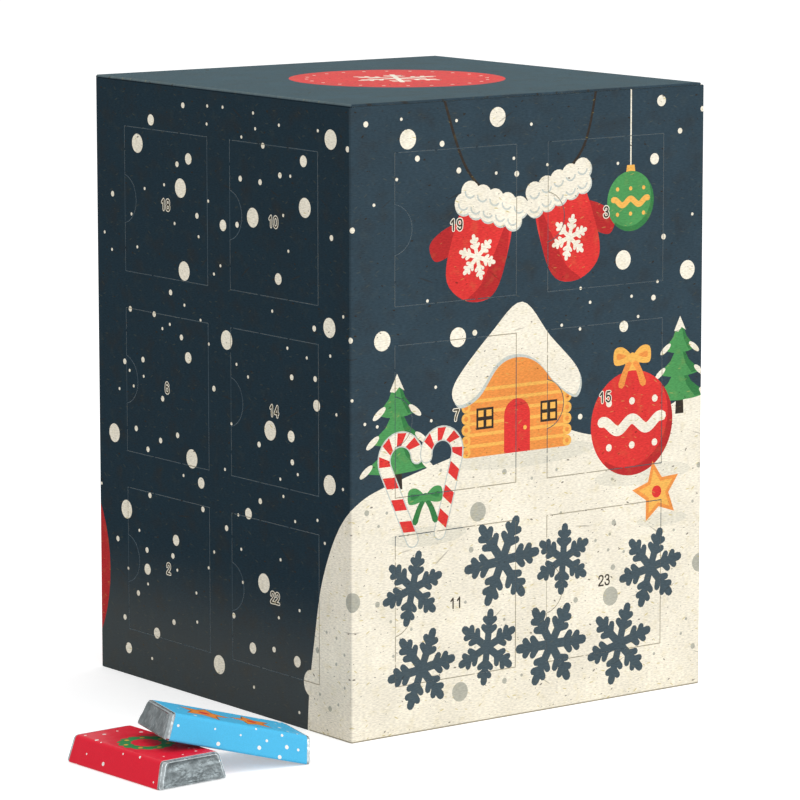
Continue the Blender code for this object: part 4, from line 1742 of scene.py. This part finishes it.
@dataclass
class Closure:
    """The lid with its tuck flap, and the two dust flaps under it.

    Attributes:
        board: the board's thickness.
        fold: outer radius of its folds.
        fuzz: how much the top sheet's fibre ends lighten it at a low angle.
        disc_radius: radius of the red round printed on the lid.
        crease_inset: how far the creases lie inside the walls.
        tuck_corner, tuck_inset: how far the tuck flap's corners are cut off, and its sides set in.
        tuck_lean: how far the tuck flap leans in at its tip.
        flap_taper: how far a dust flap narrows at each end of its free edge.
    """

    board: float = 0.6
    fold: float = 0.6
    fuzz: float = 0.11
    disc_radius: float = 29.9
    crease_inset: float = 0.3
    tuck_corner: float = 4.5
    tuck_inset: float = 2.5
    tuck_lean: float = 0.71
    flap_taper: float = 12.0

    def level(self, ink: Ink) -> Material:
        """Give the material of a level sheet in an ink."""
        return GrassBoard(ink, Lay.LEVEL, fuzz=self.fuzz).material()

    def lid(self) -> None:
        """Build the lid: a fold along the left wall, a red disc, and a tuck flap inside the right wall."""
        low, high = (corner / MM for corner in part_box("lid"))
        crease = HALF / MM - self.board - self.crease_inset
        tuck_tip = (crease - self.tuck_lean, low.z)
        corners = [
            (low.x, high.z - self.board - 0.02, 0), (low.x, high.z, self.fold), (crease, high.z, self.fold),
            (*tuck_tip, 0),
        ]
        profile = Profile(corners, 0.0, -1)
        tangent = profile.along[2 + profile.steps]
        profile.along = profile.along + (low.x + self.fold + 0.1 - tangent)
        end = profile.along[-1]
        fold_end = end - (high.z - low.z) + self.fold
        edge = HALF / MM
        tuck = edge - self.tuck_inset
        outline = np.array([
            (profile.along[0], -edge), (crease, -edge), (fold_end, -tuck), (end - self.tuck_corner, -tuck),
            (end, self.tuck_corner - tuck), (end, tuck - self.tuck_corner), (end - self.tuck_corner, tuck),
            (fold_end, tuck), (crease, edge), (profile.along[0], edge),
        ])

        disc = self.disc_radius
        # A lighter band over the fold along the left wall: a painted highlight on the rounded fold.
        highlight_from, highlight_to = profile.along[3], profile.along[2 + profile.steps]
        fold_highlight = [(highlight_from, -edge), (highlight_to, -edge), (highlight_to, edge), (highlight_from, edge)]
        shapes = [
            Shape(Ink.WORN, [turn_out(fold_highlight)]),
            Shape(Ink.RED, [oval((0, 0), disc, disc, 96)]),
            snowflake(Ink.SNOW, (0, 0), 0.42 * disc, 1.5, 0.0),
        ]
        for i in range(DOORS):
            angle = FULL_TURN * i / DOORS
            spot = (0.84 * disc * math.cos(angle), 0.84 * disc * math.sin(angle))
            shapes.append(Shape(Ink.SNOW, [oval(spot, 0.55, 0.55, 12)]))
        # The lid's cut rim takes the navy instead of the board's pale core: painted shade on the rim.
        sheet = BoardSheet(
            outline, shapes, Ink.NIGHT, profile, laid_flat, self.board, soften=0.25, rim_ink=Ink.NIGHT,
        )
        made = sheet.build({0: "lid_printed"}, self.level)[0]
        hand_over(made, "lid", "lid")
        log.info("lid: %d faces", len(made.data.polygons))

    def dust_flaps(self) -> None:
        """Build the two dust flaps, plain board with a pressed crease and rounded corners."""
        for side, sign in (("front", -1), ("back", 1)):
            low, high = (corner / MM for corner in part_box(f"dust_flap_{side}"))
            deep = high.y - low.y
            mid = (low.x + high.x) / 2
            half = (high.x - low.x) / 2
            bend = self.flap_taper - half
            crown = spline([(bend + 3, deep), (bend + 0.6, deep - 0.8), (bend - 0.8, deep - 3.6)], 4, False)
            curve = [(mid + x, y) for x, y in crown]
            mirror = [(2 * mid - x, y) for x, y in reversed(curve)]
            outline = turn_out([(mid - half, 0), (mid + half, 0), *mirror, *curve])
            profile = Profile([(low.x - 1, 0, 0), (high.x + 1, 0, 0)], low.x - 1, 1)
            crease = sign * (HALF / MM - self.board - self.crease_inset)

            def place(section: np.ndarray, across: np.ndarray) -> np.ndarray:
                """Lay the flap just under the lid."""
                return np.column_stack((section[:, 0], crease - sign * across, high.z - section[:, 1]))

            groove = Groove((mid - half + 2, 1.2), (mid + half - 2, 1.2), width=0.4, depth=0.15)
            sheet = BoardSheet(outline, [], Ink.PLAIN, profile, place, self.board, grooves=[groove])
            made = sheet.build({0: f"dust_flap_{side}_board"}, self.level)[0]
            hand_over(made, f"dust_flap_{side}", f"dust_flap_{side}")
            log.info("%s dust flap: %d faces", side, len(made.data.polygons))


@dataclass
class PocketTrays:
    """The four moulded trays, with the soft edges that pulp has.

    Attributes:
        edge: radius of their edges, in metres.
        crease_deg: the angle between two faces from which their edge stays sharp.
    """

    edge: float = 0.20 * MM
    crease_deg: float = 60.0

    def build(self) -> None:
        """Make each tray from its solid, with its edges rounded."""
        pulp = MouldedPulp().material()
        for side in WALL_NODES:
            source = frame["nodes"][f"tray_{side}"]
            mesh = source.data.copy()
            mesh.materials.clear()
            mesh.materials.append(pulp)
            bm = bmesh.new()
            bm.from_mesh(mesh)
            bmesh.ops.remove_doubles(bm, verts=bm.verts, dist=1e-6)
            bmesh.ops.dissolve_limit(bm, angle_limit=0.01, verts=bm.verts, edges=bm.edges)
            bm.to_mesh(mesh)
            bm.free()
            tray = add_object(f"pocket_tray_{side}", mesh)
            bevel = tray.modifiers.new("soft_edges", "BEVEL")
            bevel.width = self.edge
            bevel.segments = 2
            bevel.limit_method = "ANGLE"
            mesh.shade_smooth()
            mesh.set_sharp_from_angle(angle=math.radians(self.crease_deg))
            hand_over(tray, f"tray_{side}", "carton")
            log.info("%s tray: six pockets", side)


class BandColour(Enum):
    """The paper bands' colours: the material slot, the paper's colour and the motifs' colours."""

    RED = ("band_red", "#e81f37", "#2f9150", "#f4b53c")
    GREEN = ("band_green", "#3f9358", "#d8323a", "#f2b84a")
    ORANGE = ("band_orange", "#ea9634", "#d8323a", "#3f9358")
    BLUE = ("band_blue", "#52bdea", "#ea8f3c", "#d8323a")


@dataclass
class WrappedBar:
    """One chocolate bar in foil, with a printed paper band round its middle.

    Attributes:
        length, width, height, top_width: the bar's size.
        end_slope: how far its ends lean in.
        edge_round, foot_round: radius of its long upper and lower edges.
        foil_showing: how far the foil shows past the band.
        paper: the paper's thickness.
        tight_foil: the foil's brighter colour on the edges, a painted highlight.
        dots, dot_gap, dot_radii: the number of the band's snow dots, their least spacing and their sizes.
        dot_reach, sign_reach: how far they lie round the band at most, and from its middle at least.
        ridge_depth, fine_depth: how deep the foil's large and small creases are.
        panel, panel_depth: where the folded panel of an end begins, as a share of the way from the middle
            to the rim, and how deep it lies.
        fold_level, fold_depth: height of the fold across it, as a share of the bar's, and its depth.
        crease_deg: the angle between two faces from which their edge stays sharp.
    """

    length: float
    width: float
    height: float
    top_width: float = 17.7
    end_slope: float = 1.0
    edge_round: float = 1.2
    foot_round: float = 0.5
    foil_showing: float = 1.4
    paper: float = 0.12
    tight_foil: str = "#9ea5a7"
    dots: int = 34
    dot_gap: float = 2.6
    dot_radii: tuple[float, ...] = (0.28, 0.38, 0.55)
    dot_reach: float = 17.0
    sign_reach: float = 8.6
    ridge_depth: float = 0.16
    fine_depth: float = 0.07
    panel: float = 0.86
    panel_depth: float = 0.22
    fold_level: float = 0.68
    fold_depth: float = 0.10
    crease_deg: float = 38.0

    def section(self, inset: float) -> list[tuple[float, float, float]]:
        """Give the cross-section's corners from the middle of the underside, round to it again.

        Args:
            inset: how far inside the band's outer face.

        Returns:
            Across, up and the corner's radius.
        """
        foot, shoulder = self.width / 2 - inset, self.top_width / 2 - inset
        high, low = self.height - inset, inset
        foot_round, edge_round = self.foot_round - inset / 2, self.edge_round - inset / 2
        return [
            (0, low, 0), (foot, low, foot_round), (shoulder, high, edge_round),
            (-shoulder, high, edge_round), (-foot, low, foot_round), (0, low, 0),
        ]

    def band(self, name: str, colour: BandColour, seed: int) -> Object:
        """Wrap the printed paper band.

        Args:
            name: the piece's name.
            colour: the band's colours.
            seed: settles where its dots lie.

        Returns:
            The band, with the bar's length along X.
        """
        profile = Profile(self.section(0), 0.0, 1, steps=4)
        profile.along = profile.along - profile.along[-1] / 2
        end = self.length / 2 - self.foil_showing
        half = profile.along[-1]
        outline = np.array([(-half, -end), (half, -end), (half, end), (-half, end)])
        sheet = BoardSheet(
            outline, self.motifs(colour, seed, end), colour.value[1], profile, self.place_band, self.paper,
            soften=0.05, rim_ink="#efefec", back_ink="#efefec",
        )
        return sheet.build({0: name}, lambda code: GlossPaper(code).material())[0]

    def place_band(self, section: np.ndarray, across: np.ndarray) -> np.ndarray:
        """Stand the cross-section square to the bar's length, leaning in as the bar's ends do."""
        lean = 1 - 2 * self.end_slope / self.length * section[:, 1] / self.height
        return np.column_stack((across * lean, section[:, 0], section[:, 1]))

    def motifs(self, colour: BandColour, seed: int, end: float) -> list[Shape]:
        """Draw the band's print: a simple winter sign on the top and snow dots round it.

        Args:
            colour: the band's colours.
            seed: settles where its dots lie.
            end: distance from the middle to the band's edge.

        Returns:
            The shapes.
        """
        _, _, first, second = colour.value
        white = "#f6f4ee"
        shapes = []
        if colour is BandColour.RED:
            leaves = [oval((5.4 * math.cos(a), 6.2 * math.sin(a)), 2.4, 1.4, 14, a + 0.9)
                      for a in np.linspace(0, FULL_TURN, 14, endpoint=False)]
            shapes.append(Shape(first, leaves))
            shapes += [Shape(second, [oval((5.4 * math.cos(a), 6.2 * math.sin(a)), 0.65, 0.65, 12)])
                       for a in np.linspace(0.2, FULL_TURN + 0.2, 7, endpoint=False)]
        elif colour is BandColour.BLUE:
            for at, size, tilt in (((0, -7.6), 7.0, 0.2), ((0.5, 6.4), 6.0, 0.7)):
                shapes.append(Shape("#8a4a24", [star(at, 1.1 * size, 0.55 * size, 5, tilt)]))
                shapes.append(Shape(first, [star(at, size, 0.48 * size, 5, tilt)]))
                shapes.append(Shape(second, [oval(at, 0.22 * size, 0.22 * size, 18)]))
        elif colour is BandColour.GREEN:
            shapes.append(snowflake(white, (0, 0), 6.4, 1.0))
            shapes.append(Shape(first, [oval((0, 0), 1.1, 1.1, 16)]))
        else:
            shapes.append(Shape(second, [oval((s * 2.6, 1.2), 3.6, 1.8, 20, -0.5 * s) for s in (-1, 1)]))
            berries = ((0, -0.8), (-1.3, -2.4), (1.3, -2.4))
            shapes.append(Shape(first, [oval(spot, 1.1, 1.1, 16) for spot in berries]))
        dice = random.Random(seed)
        spots: list[Point] = []
        while len(spots) < self.dots:
            spot = (dice.uniform(-self.dot_reach, self.dot_reach), dice.uniform(-end + 1.2, end - 1.2))
            aside = math.hypot(spot[0], 0.6 * spot[1]) > self.sign_reach
            if aside and all(math.dist(spot, other) > self.dot_gap for other in spots):
                spots.append(spot)
                radius = dice.choice(self.dot_radii)
                shapes.append(Shape(white, [oval(spot, radius, radius, 10)]))
        return shapes

    def foil(self, name: str, seed: int) -> Object:
        """Press the foil round the bar: crumpled, with the ends folded like a parcel's.

        Args:
            name: the piece's name.
            seed: settles its creases.

        Returns:
            The foil, with the bar's length along X.
        """
        profile = Profile(self.section(self.paper + 0.02), 0.0, 1, steps=4)
        count = 96
        along = np.linspace(profile.along[0], profile.along[-1], count, endpoint=False)
        ring = profile.place(along, np.zeros(count))
        middle = np.array((0, self.height * 0.48))
        end = self.length / 2 - 0.15
        band = end - self.foil_showing
        straight = (0.0, band * 0.5, band - 0.6, band, band + 0.3, band + 0.6, band + 0.9)
        half = [(x, 1.0) for x in straight]
        half += [(end - 0.50, 0.985), (end - 0.25, 0.965), (end - 0.08, 0.935), (end, 0.90)]
        half += [(end, share) for share in (0.86, 0.80, 0.72, 0.62, 0.50, 0.38, 0.25, 0.12)]
        whole = [(-x, share) for x, share in reversed(half[1:])] + half
        dice = Vector((seed * 1.7, seed * 0.9, seed * 2.3))
        verts, faces = [], []
        for x, share in whole:
            for y, z in middle + (ring - middle) * share:
                lean = self.end_slope * z / self.height * (abs(x) / end)
                spot = Vector((x - math.copysign(lean, x), y, z))
                verts.append(self.crumpled(spot, share, dice, band))
        rings = len(whole)
        for i in range(rings - 1):
            for j in range(count):
                k = (j + 1) % count
                faces.append((i * count + j, i * count + k, (i + 1) * count + k, (i + 1) * count + j))
        faces.append(tuple(range(count)))
        faces.append(tuple(reversed(range((rings - 1) * count, rings * count))))
        mesh = bpy.data.meshes.new(name)
        mesh.from_pydata([v * MM for v in verts], [], faces)
        # The end faces take the darker foil colour, painted shade; the sleeve and its rims take the brighter
        # one, a painted highlight.
        mesh.materials.append(PressedFoil().material())
        mesh.materials.append(PressedFoil(self.tight_foil).material())
        highlit = [min(whole[i][1], whole[i + 1][1]) > 0.88 for i in range(rings - 1) for _ in range(count)]
        mesh.polygons.foreach_set("material_index", [*highlit, False, False])
        return finish_mesh(mesh, self.crease_deg)

    def crumpled(self, spot: Vector, share: float, dice: Vector, band: float) -> Vector:
        """Move one point of the foil as its creases do, always inwards.

        Args:
            spot: the smooth point.
            share: how near it is to the bar's rim on an end face, 1 on the rim.
            dice: settles the pattern.
            band: distance from the middle to the band's edge.

        Returns:
            The creased point.
        """
        open_share = min(max((abs(spot.x) - band) / self.foil_showing, 0.0), 1.0)
        ridge = 1 - abs(noise.noise(spot * 0.55 + dice)) * 2
        fine = noise.noise(spot * 1.6 + dice)
        depth = open_share * (self.ridge_depth * (1 - ridge) + self.fine_depth * (0.5 + 0.5 * fine))
        to_middle = Vector((-math.copysign(1, spot.x), 0, 0))
        inward = to_middle if share < 0.97 else Vector((0, -spot.y, 0)).normalized()
        if share < self.panel:
            depth += self.panel_depth * min((self.panel - share) / 0.1, 1.0)
            over = spot.z - self.height * self.fold_level
            depth += self.fold_depth * (math.exp(-((over / 0.25) ** 2)) + (over > 0))
        return spot + inward * depth

    def build(self, number: int, colour: BandColour, seed: int) -> list[Object]:
        """Make the foil and the band.

        Args:
            number: the bar's number, for the pieces' names.
            colour: the band's colours.
            seed: settles its creases and dots.

        Returns:
            The two pieces, at the origin.
        """
        name = f"chocolate_bar_{number:02d}"
        return [self.foil(f"{name}_foil", seed), self.band(f"{name}_band", colour, seed)]


@dataclass
class Bars:
    """All the wrapped bars, in their pockets and on the floor.

    Attributes:
        low_number, top_number: the two that lie in front of the left wall.
        low_yaw_deg, top_yaw_deg: how far each is turned on the floor.
        lean_limit_deg: the steepest lean that is tried for the upper one.
        lean_steps: how many leans are tried to a degree.
    """

    low_number: int = 1
    top_number: int = 4
    low_yaw_deg: float = 92.0
    top_yaw_deg: float = -13.0
    lean_limit_deg: int = 30
    lean_steps: int = 100

    def place_of(self, number: int) -> Matrix:
        """Find where a bar lies from its solid.

        Args:
            number: the bar's number.

        Returns:
            The turn and place, in metres.
        """
        node = frame["nodes"][f"chocolate_bar_{number:02d}"]
        spots = np.array([v.co for v in node.data.vertices])
        if number == self.low_number:
            turn = Matrix.Rotation(math.radians(self.low_yaw_deg), 3, "Z")
        elif number == self.top_number:
            turn = self.leaning_turn(spots)
        else:
            low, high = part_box(f"chocolate_bar_{number:02d}")
            deep = 0 if high.x - low.x < high.y - low.y else 1
            outward = math.copysign(1, (low + high)[deep])
            up = Vector((outward, 0, 0)) if deep == 0 else Vector((0, outward, 0))
            along = Vector((0, 0, 1)).cross(up)
            turn = Matrix((along, up.cross(along), up)).transposed()
        local = spots @ np.array(turn)
        low, high = local.min(axis=0), local.max(axis=0)
        foot = Vector(((low[0] + high[0]) / 2, (low[1] + high[1]) / 2, low[2]))
        return Matrix.Translation(turn @ foot) @ turn.to_4x4()

    def leaning_turn(self, spots: np.ndarray) -> Matrix:
        """Find the tilt of the bar that leans on the other one.

        Args:
            spots: its solid's points.

        Returns:
            The rotation whose underside is the solid's lowest plane.
        """
        yaw = Matrix.Rotation(math.radians(self.top_yaw_deg), 3, "Z")
        best = (math.inf, yaw)
        for step in range(self.lean_limit_deg * self.lean_steps + 1):
            pitch = math.radians(step / self.lean_steps)
            turn = yaw @ Matrix.Rotation(pitch, 3, "Y")
            levels = spots @ np.array(turn)[:, 2]
            thick = levels.max() - levels.min()
            if thick < best[0]:
                best = (thick, turn)
        return best[1]

    def build(self) -> None:
        """Make one set of meshes for each colour, and lay a bar of it in each place."""
        low, high = (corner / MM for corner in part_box("chocolate_bar_02"))
        wide = sorted((high.x - low.x, high.y - low.y, high.z - low.z))
        bar = WrappedBar(length=wide[2], width=wide[1], height=wide[0])
        slots = {m.value[0]: m for m in BandColour}
        own_slot = {row["node"]: row["material_slot"] for row in frame["record"]["subparts"]}
        shared: dict[BandColour, list[Object]] = {}
        for number in range(1, DOORS + 1):
            node = f"chocolate_bar_{number:02d}"
            colour = slots[own_slot[node]]
            loose = number in (self.low_number, self.top_number)
            body = {self.low_number: "loose_bar_low", self.top_number: "loose_bar_top"}.get(number, "carton")
            if loose or colour not in shared:
                made = bar.build(number, colour, number)
                if not loose:
                    shared[colour] = made
            else:
                made = []
                for source in shared[colour]:
                    layer = source.name.rsplit("_", 1)[1]
                    made.append(add_object(f"{node}_{layer}", source.data))
            spot = self.place_of(number)
            for piece in made:
                piece.matrix_world = spot
                hand_over(piece, node, body)
        log.info("bars: 22 in pockets and 2 loose")


@dataclass
class Studio:
    """The pale floor, the white surroundings, the soft lamps and the camera.

    Attributes:
        eye: the camera's place.
        lens: its focal length, on a 36 mm sensor.
        turn_deg: its turn about X, Y and Z.
        shift: how far the picture is cut out beside the lens's middle, in picture widths.
        floor_size: the floor's side in metres.
        floor_drop: how far the floor lies under the object, in metres.
        floor_tone: its darkest and palest tone.
        floor_lift: how much the floor glows where it is seen or mirrored, so that it comes out white.
        key_place, top_place: where the lamps hang, in metres.
        key_size, top_size: the sides of the lamps, in metres.
        key_power, top_power: the lamps' power in watts.
        sky: strength of the light from all round.
    """

    eye: tuple[float, float, float] = (-715.91, -958.94, 264.89)
    lens: float = 195.32
    turn_deg: tuple[float, float, float] = (81.702, -0.1845, -38.3691)
    shift: Point = (-0.152, -0.0539)
    floor_size: float = 6.0
    floor_drop: float = 0.00002
    floor_tone: Point = (0.86, 0.88)
    floor_lift: float = 0.42
    key_place: tuple[float, float, float] = (1.6, -2.5, 0.8)
    top_place: tuple[float, float, float] = (0.1, -0.2, 1.6)
    key_size: float = 1.8
    top_size: float = 1.2
    key_power: float = 33.0
    top_power: float = 7.0
    sky: float = 0.74

    def floor(self) -> None:
        """Lay the floor: near white, which keeps the object's shadow."""
        material, tree = start_material("studio_floor_matt_paper")
        path = add_node(tree, "ShaderNodeLightPath").outputs
        grain = add_node(tree, "ShaderNodeTexNoise", {"Scale": 900.0, "Detail": 1.0})
        dark, pale = self.floor_tone
        tone = {"Value": grain.outputs[0], "From Min": 0.3, "From Max": 0.7, "To Min": dark, "To Max": pale}
        shade = add_node(tree, "ShaderNodeMapRange", tone)
        paper = add_node(tree, "ShaderNodeBsdfDiffuse", {"Color": shade.outputs[0]})
        seen = {0: path["Is Camera Ray"], 1: path["Is Glossy Ray"]}
        direct = add_node(tree, "ShaderNodeMath", seen, operation="MAXIMUM")
        lifted = {0: direct.outputs[0], 1: self.floor_lift}
        lift = add_node(tree, "ShaderNodeMath", lifted, operation="MULTIPLY")
        glow = add_node(tree, "ShaderNodeEmission", {"Strength": lift.outputs[0]})
        both = add_node(tree, "ShaderNodeAddShader", {0: paper.outputs[0], 1: glow.outputs[0]})
        add_node(tree, "ShaderNodeOutputMaterial", {"Surface": both.outputs[0]})
        half = self.floor_size / 2
        mesh = bpy.data.meshes.new("studio_floor")
        corners = [(-half, -half, 0), (half, -half, 0), (half, half, 0), (-half, half, 0)]
        mesh.from_pydata(corners, [], [(0, 1, 2, 3)])
        mesh.materials.append(material)
        floor = add_object("studio_floor", mesh)
        floor.location.z = -self.floor_drop

    def surroundings(self) -> None:
        """Set the world: soft light from all round, and white wherever it is seen or mirrored."""
        world = bpy.data.worlds.new("white_studio")
        bpy.context.scene.world = world
        world.use_nodes = True
        tree = world.node_tree
        tree.nodes.clear()
        path = add_node(tree, "ShaderNodeLightPath").outputs
        rays = {0: path["Is Glossy Ray"], 1: path["Is Transmission Ray"]}
        mirrored = add_node(tree, "ShaderNodeMath", rays, operation="MAXIMUM")
        either = {0: path["Is Camera Ray"], 1: mirrored.outputs[0]}
        seen = add_node(tree, "ShaderNodeMath", either, operation="MAXIMUM")
        span = {"Value": seen.outputs[0], "To Min": self.sky, "To Max": 1.0}
        strength = add_node(tree, "ShaderNodeMapRange", span)
        white = {"Color": (1, 1, 1, 1), "Strength": strength.outputs[0]}
        sky = add_node(tree, "ShaderNodeBackground", white)
        add_node(tree, "ShaderNodeOutputWorld", {"Surface": sky.outputs[0]})

    def lamp(self, name: str, place: Vector, size: float, power: float) -> None:
        """Hang a square soft lamp that faces the object.

        Args:
            name: its name.
            place: where it hangs, in metres.
            size: the length of its side.
            power: its power in watts.
        """
        data = bpy.data.lights.new(name, "AREA")
        data.size = size
        data.energy = power
        lamp = add_object(name, data)
        lamp.location = place
        aim = Vector((0, 0, TALL_MM * MM / 2)) - place
        lamp.rotation_euler = aim.to_track_quat("-Z", "Y").to_euler()

    def camera(self) -> None:
        """Set the camera at the photograph's viewing angle."""
        data = bpy.data.cameras.new("camera")
        data.lens = self.lens
        data.sensor_width = 36.0
        data.shift_x, data.shift_y = self.shift
        data.clip_start, data.clip_end = 0.1, 20.0
        eye = add_object("camera", data)
        eye.location = Vector(self.eye) * MM
        eye.rotation_euler = [math.radians(angle) for angle in self.turn_deg]
        bpy.context.scene.camera = eye

    def build(self) -> None:
        """Set everything up."""
        bpy.context.scene.view_settings.view_transform = "Standard"
        self.floor()
        self.surroundings()
        self.lamp("key_lamp", Vector(self.key_place), self.key_size, self.key_power)
        self.lamp("top_lamp", Vector(self.top_place), self.top_size, self.top_power)
        self.camera()
        log.info("studio: floor, white surroundings, two lamps and the camera")


def main() -> None:
    """Dress the whole calendar, one part after another."""
    logging.basicConfig(level=logging.INFO, format="%(name)s: %(message)s")
    print_design = StripPrint()
    hills = print_design.hills()
    things = print_design.figures_on()
    snow = print_design.snowfall(hills, things)
    picture = hills + snow + things
    carton = Carton()
    for turns in range(len(WALL_NODES)):
        carton.wall(turns, print_design.on_wall(turns, picture))
    carton.base()
    closure = Closure()
    closure.lid()
    closure.dust_flaps()
    PocketTrays().build()
    Bars().build()
    Studio().build()


if __name__ == "__main__":
    main()
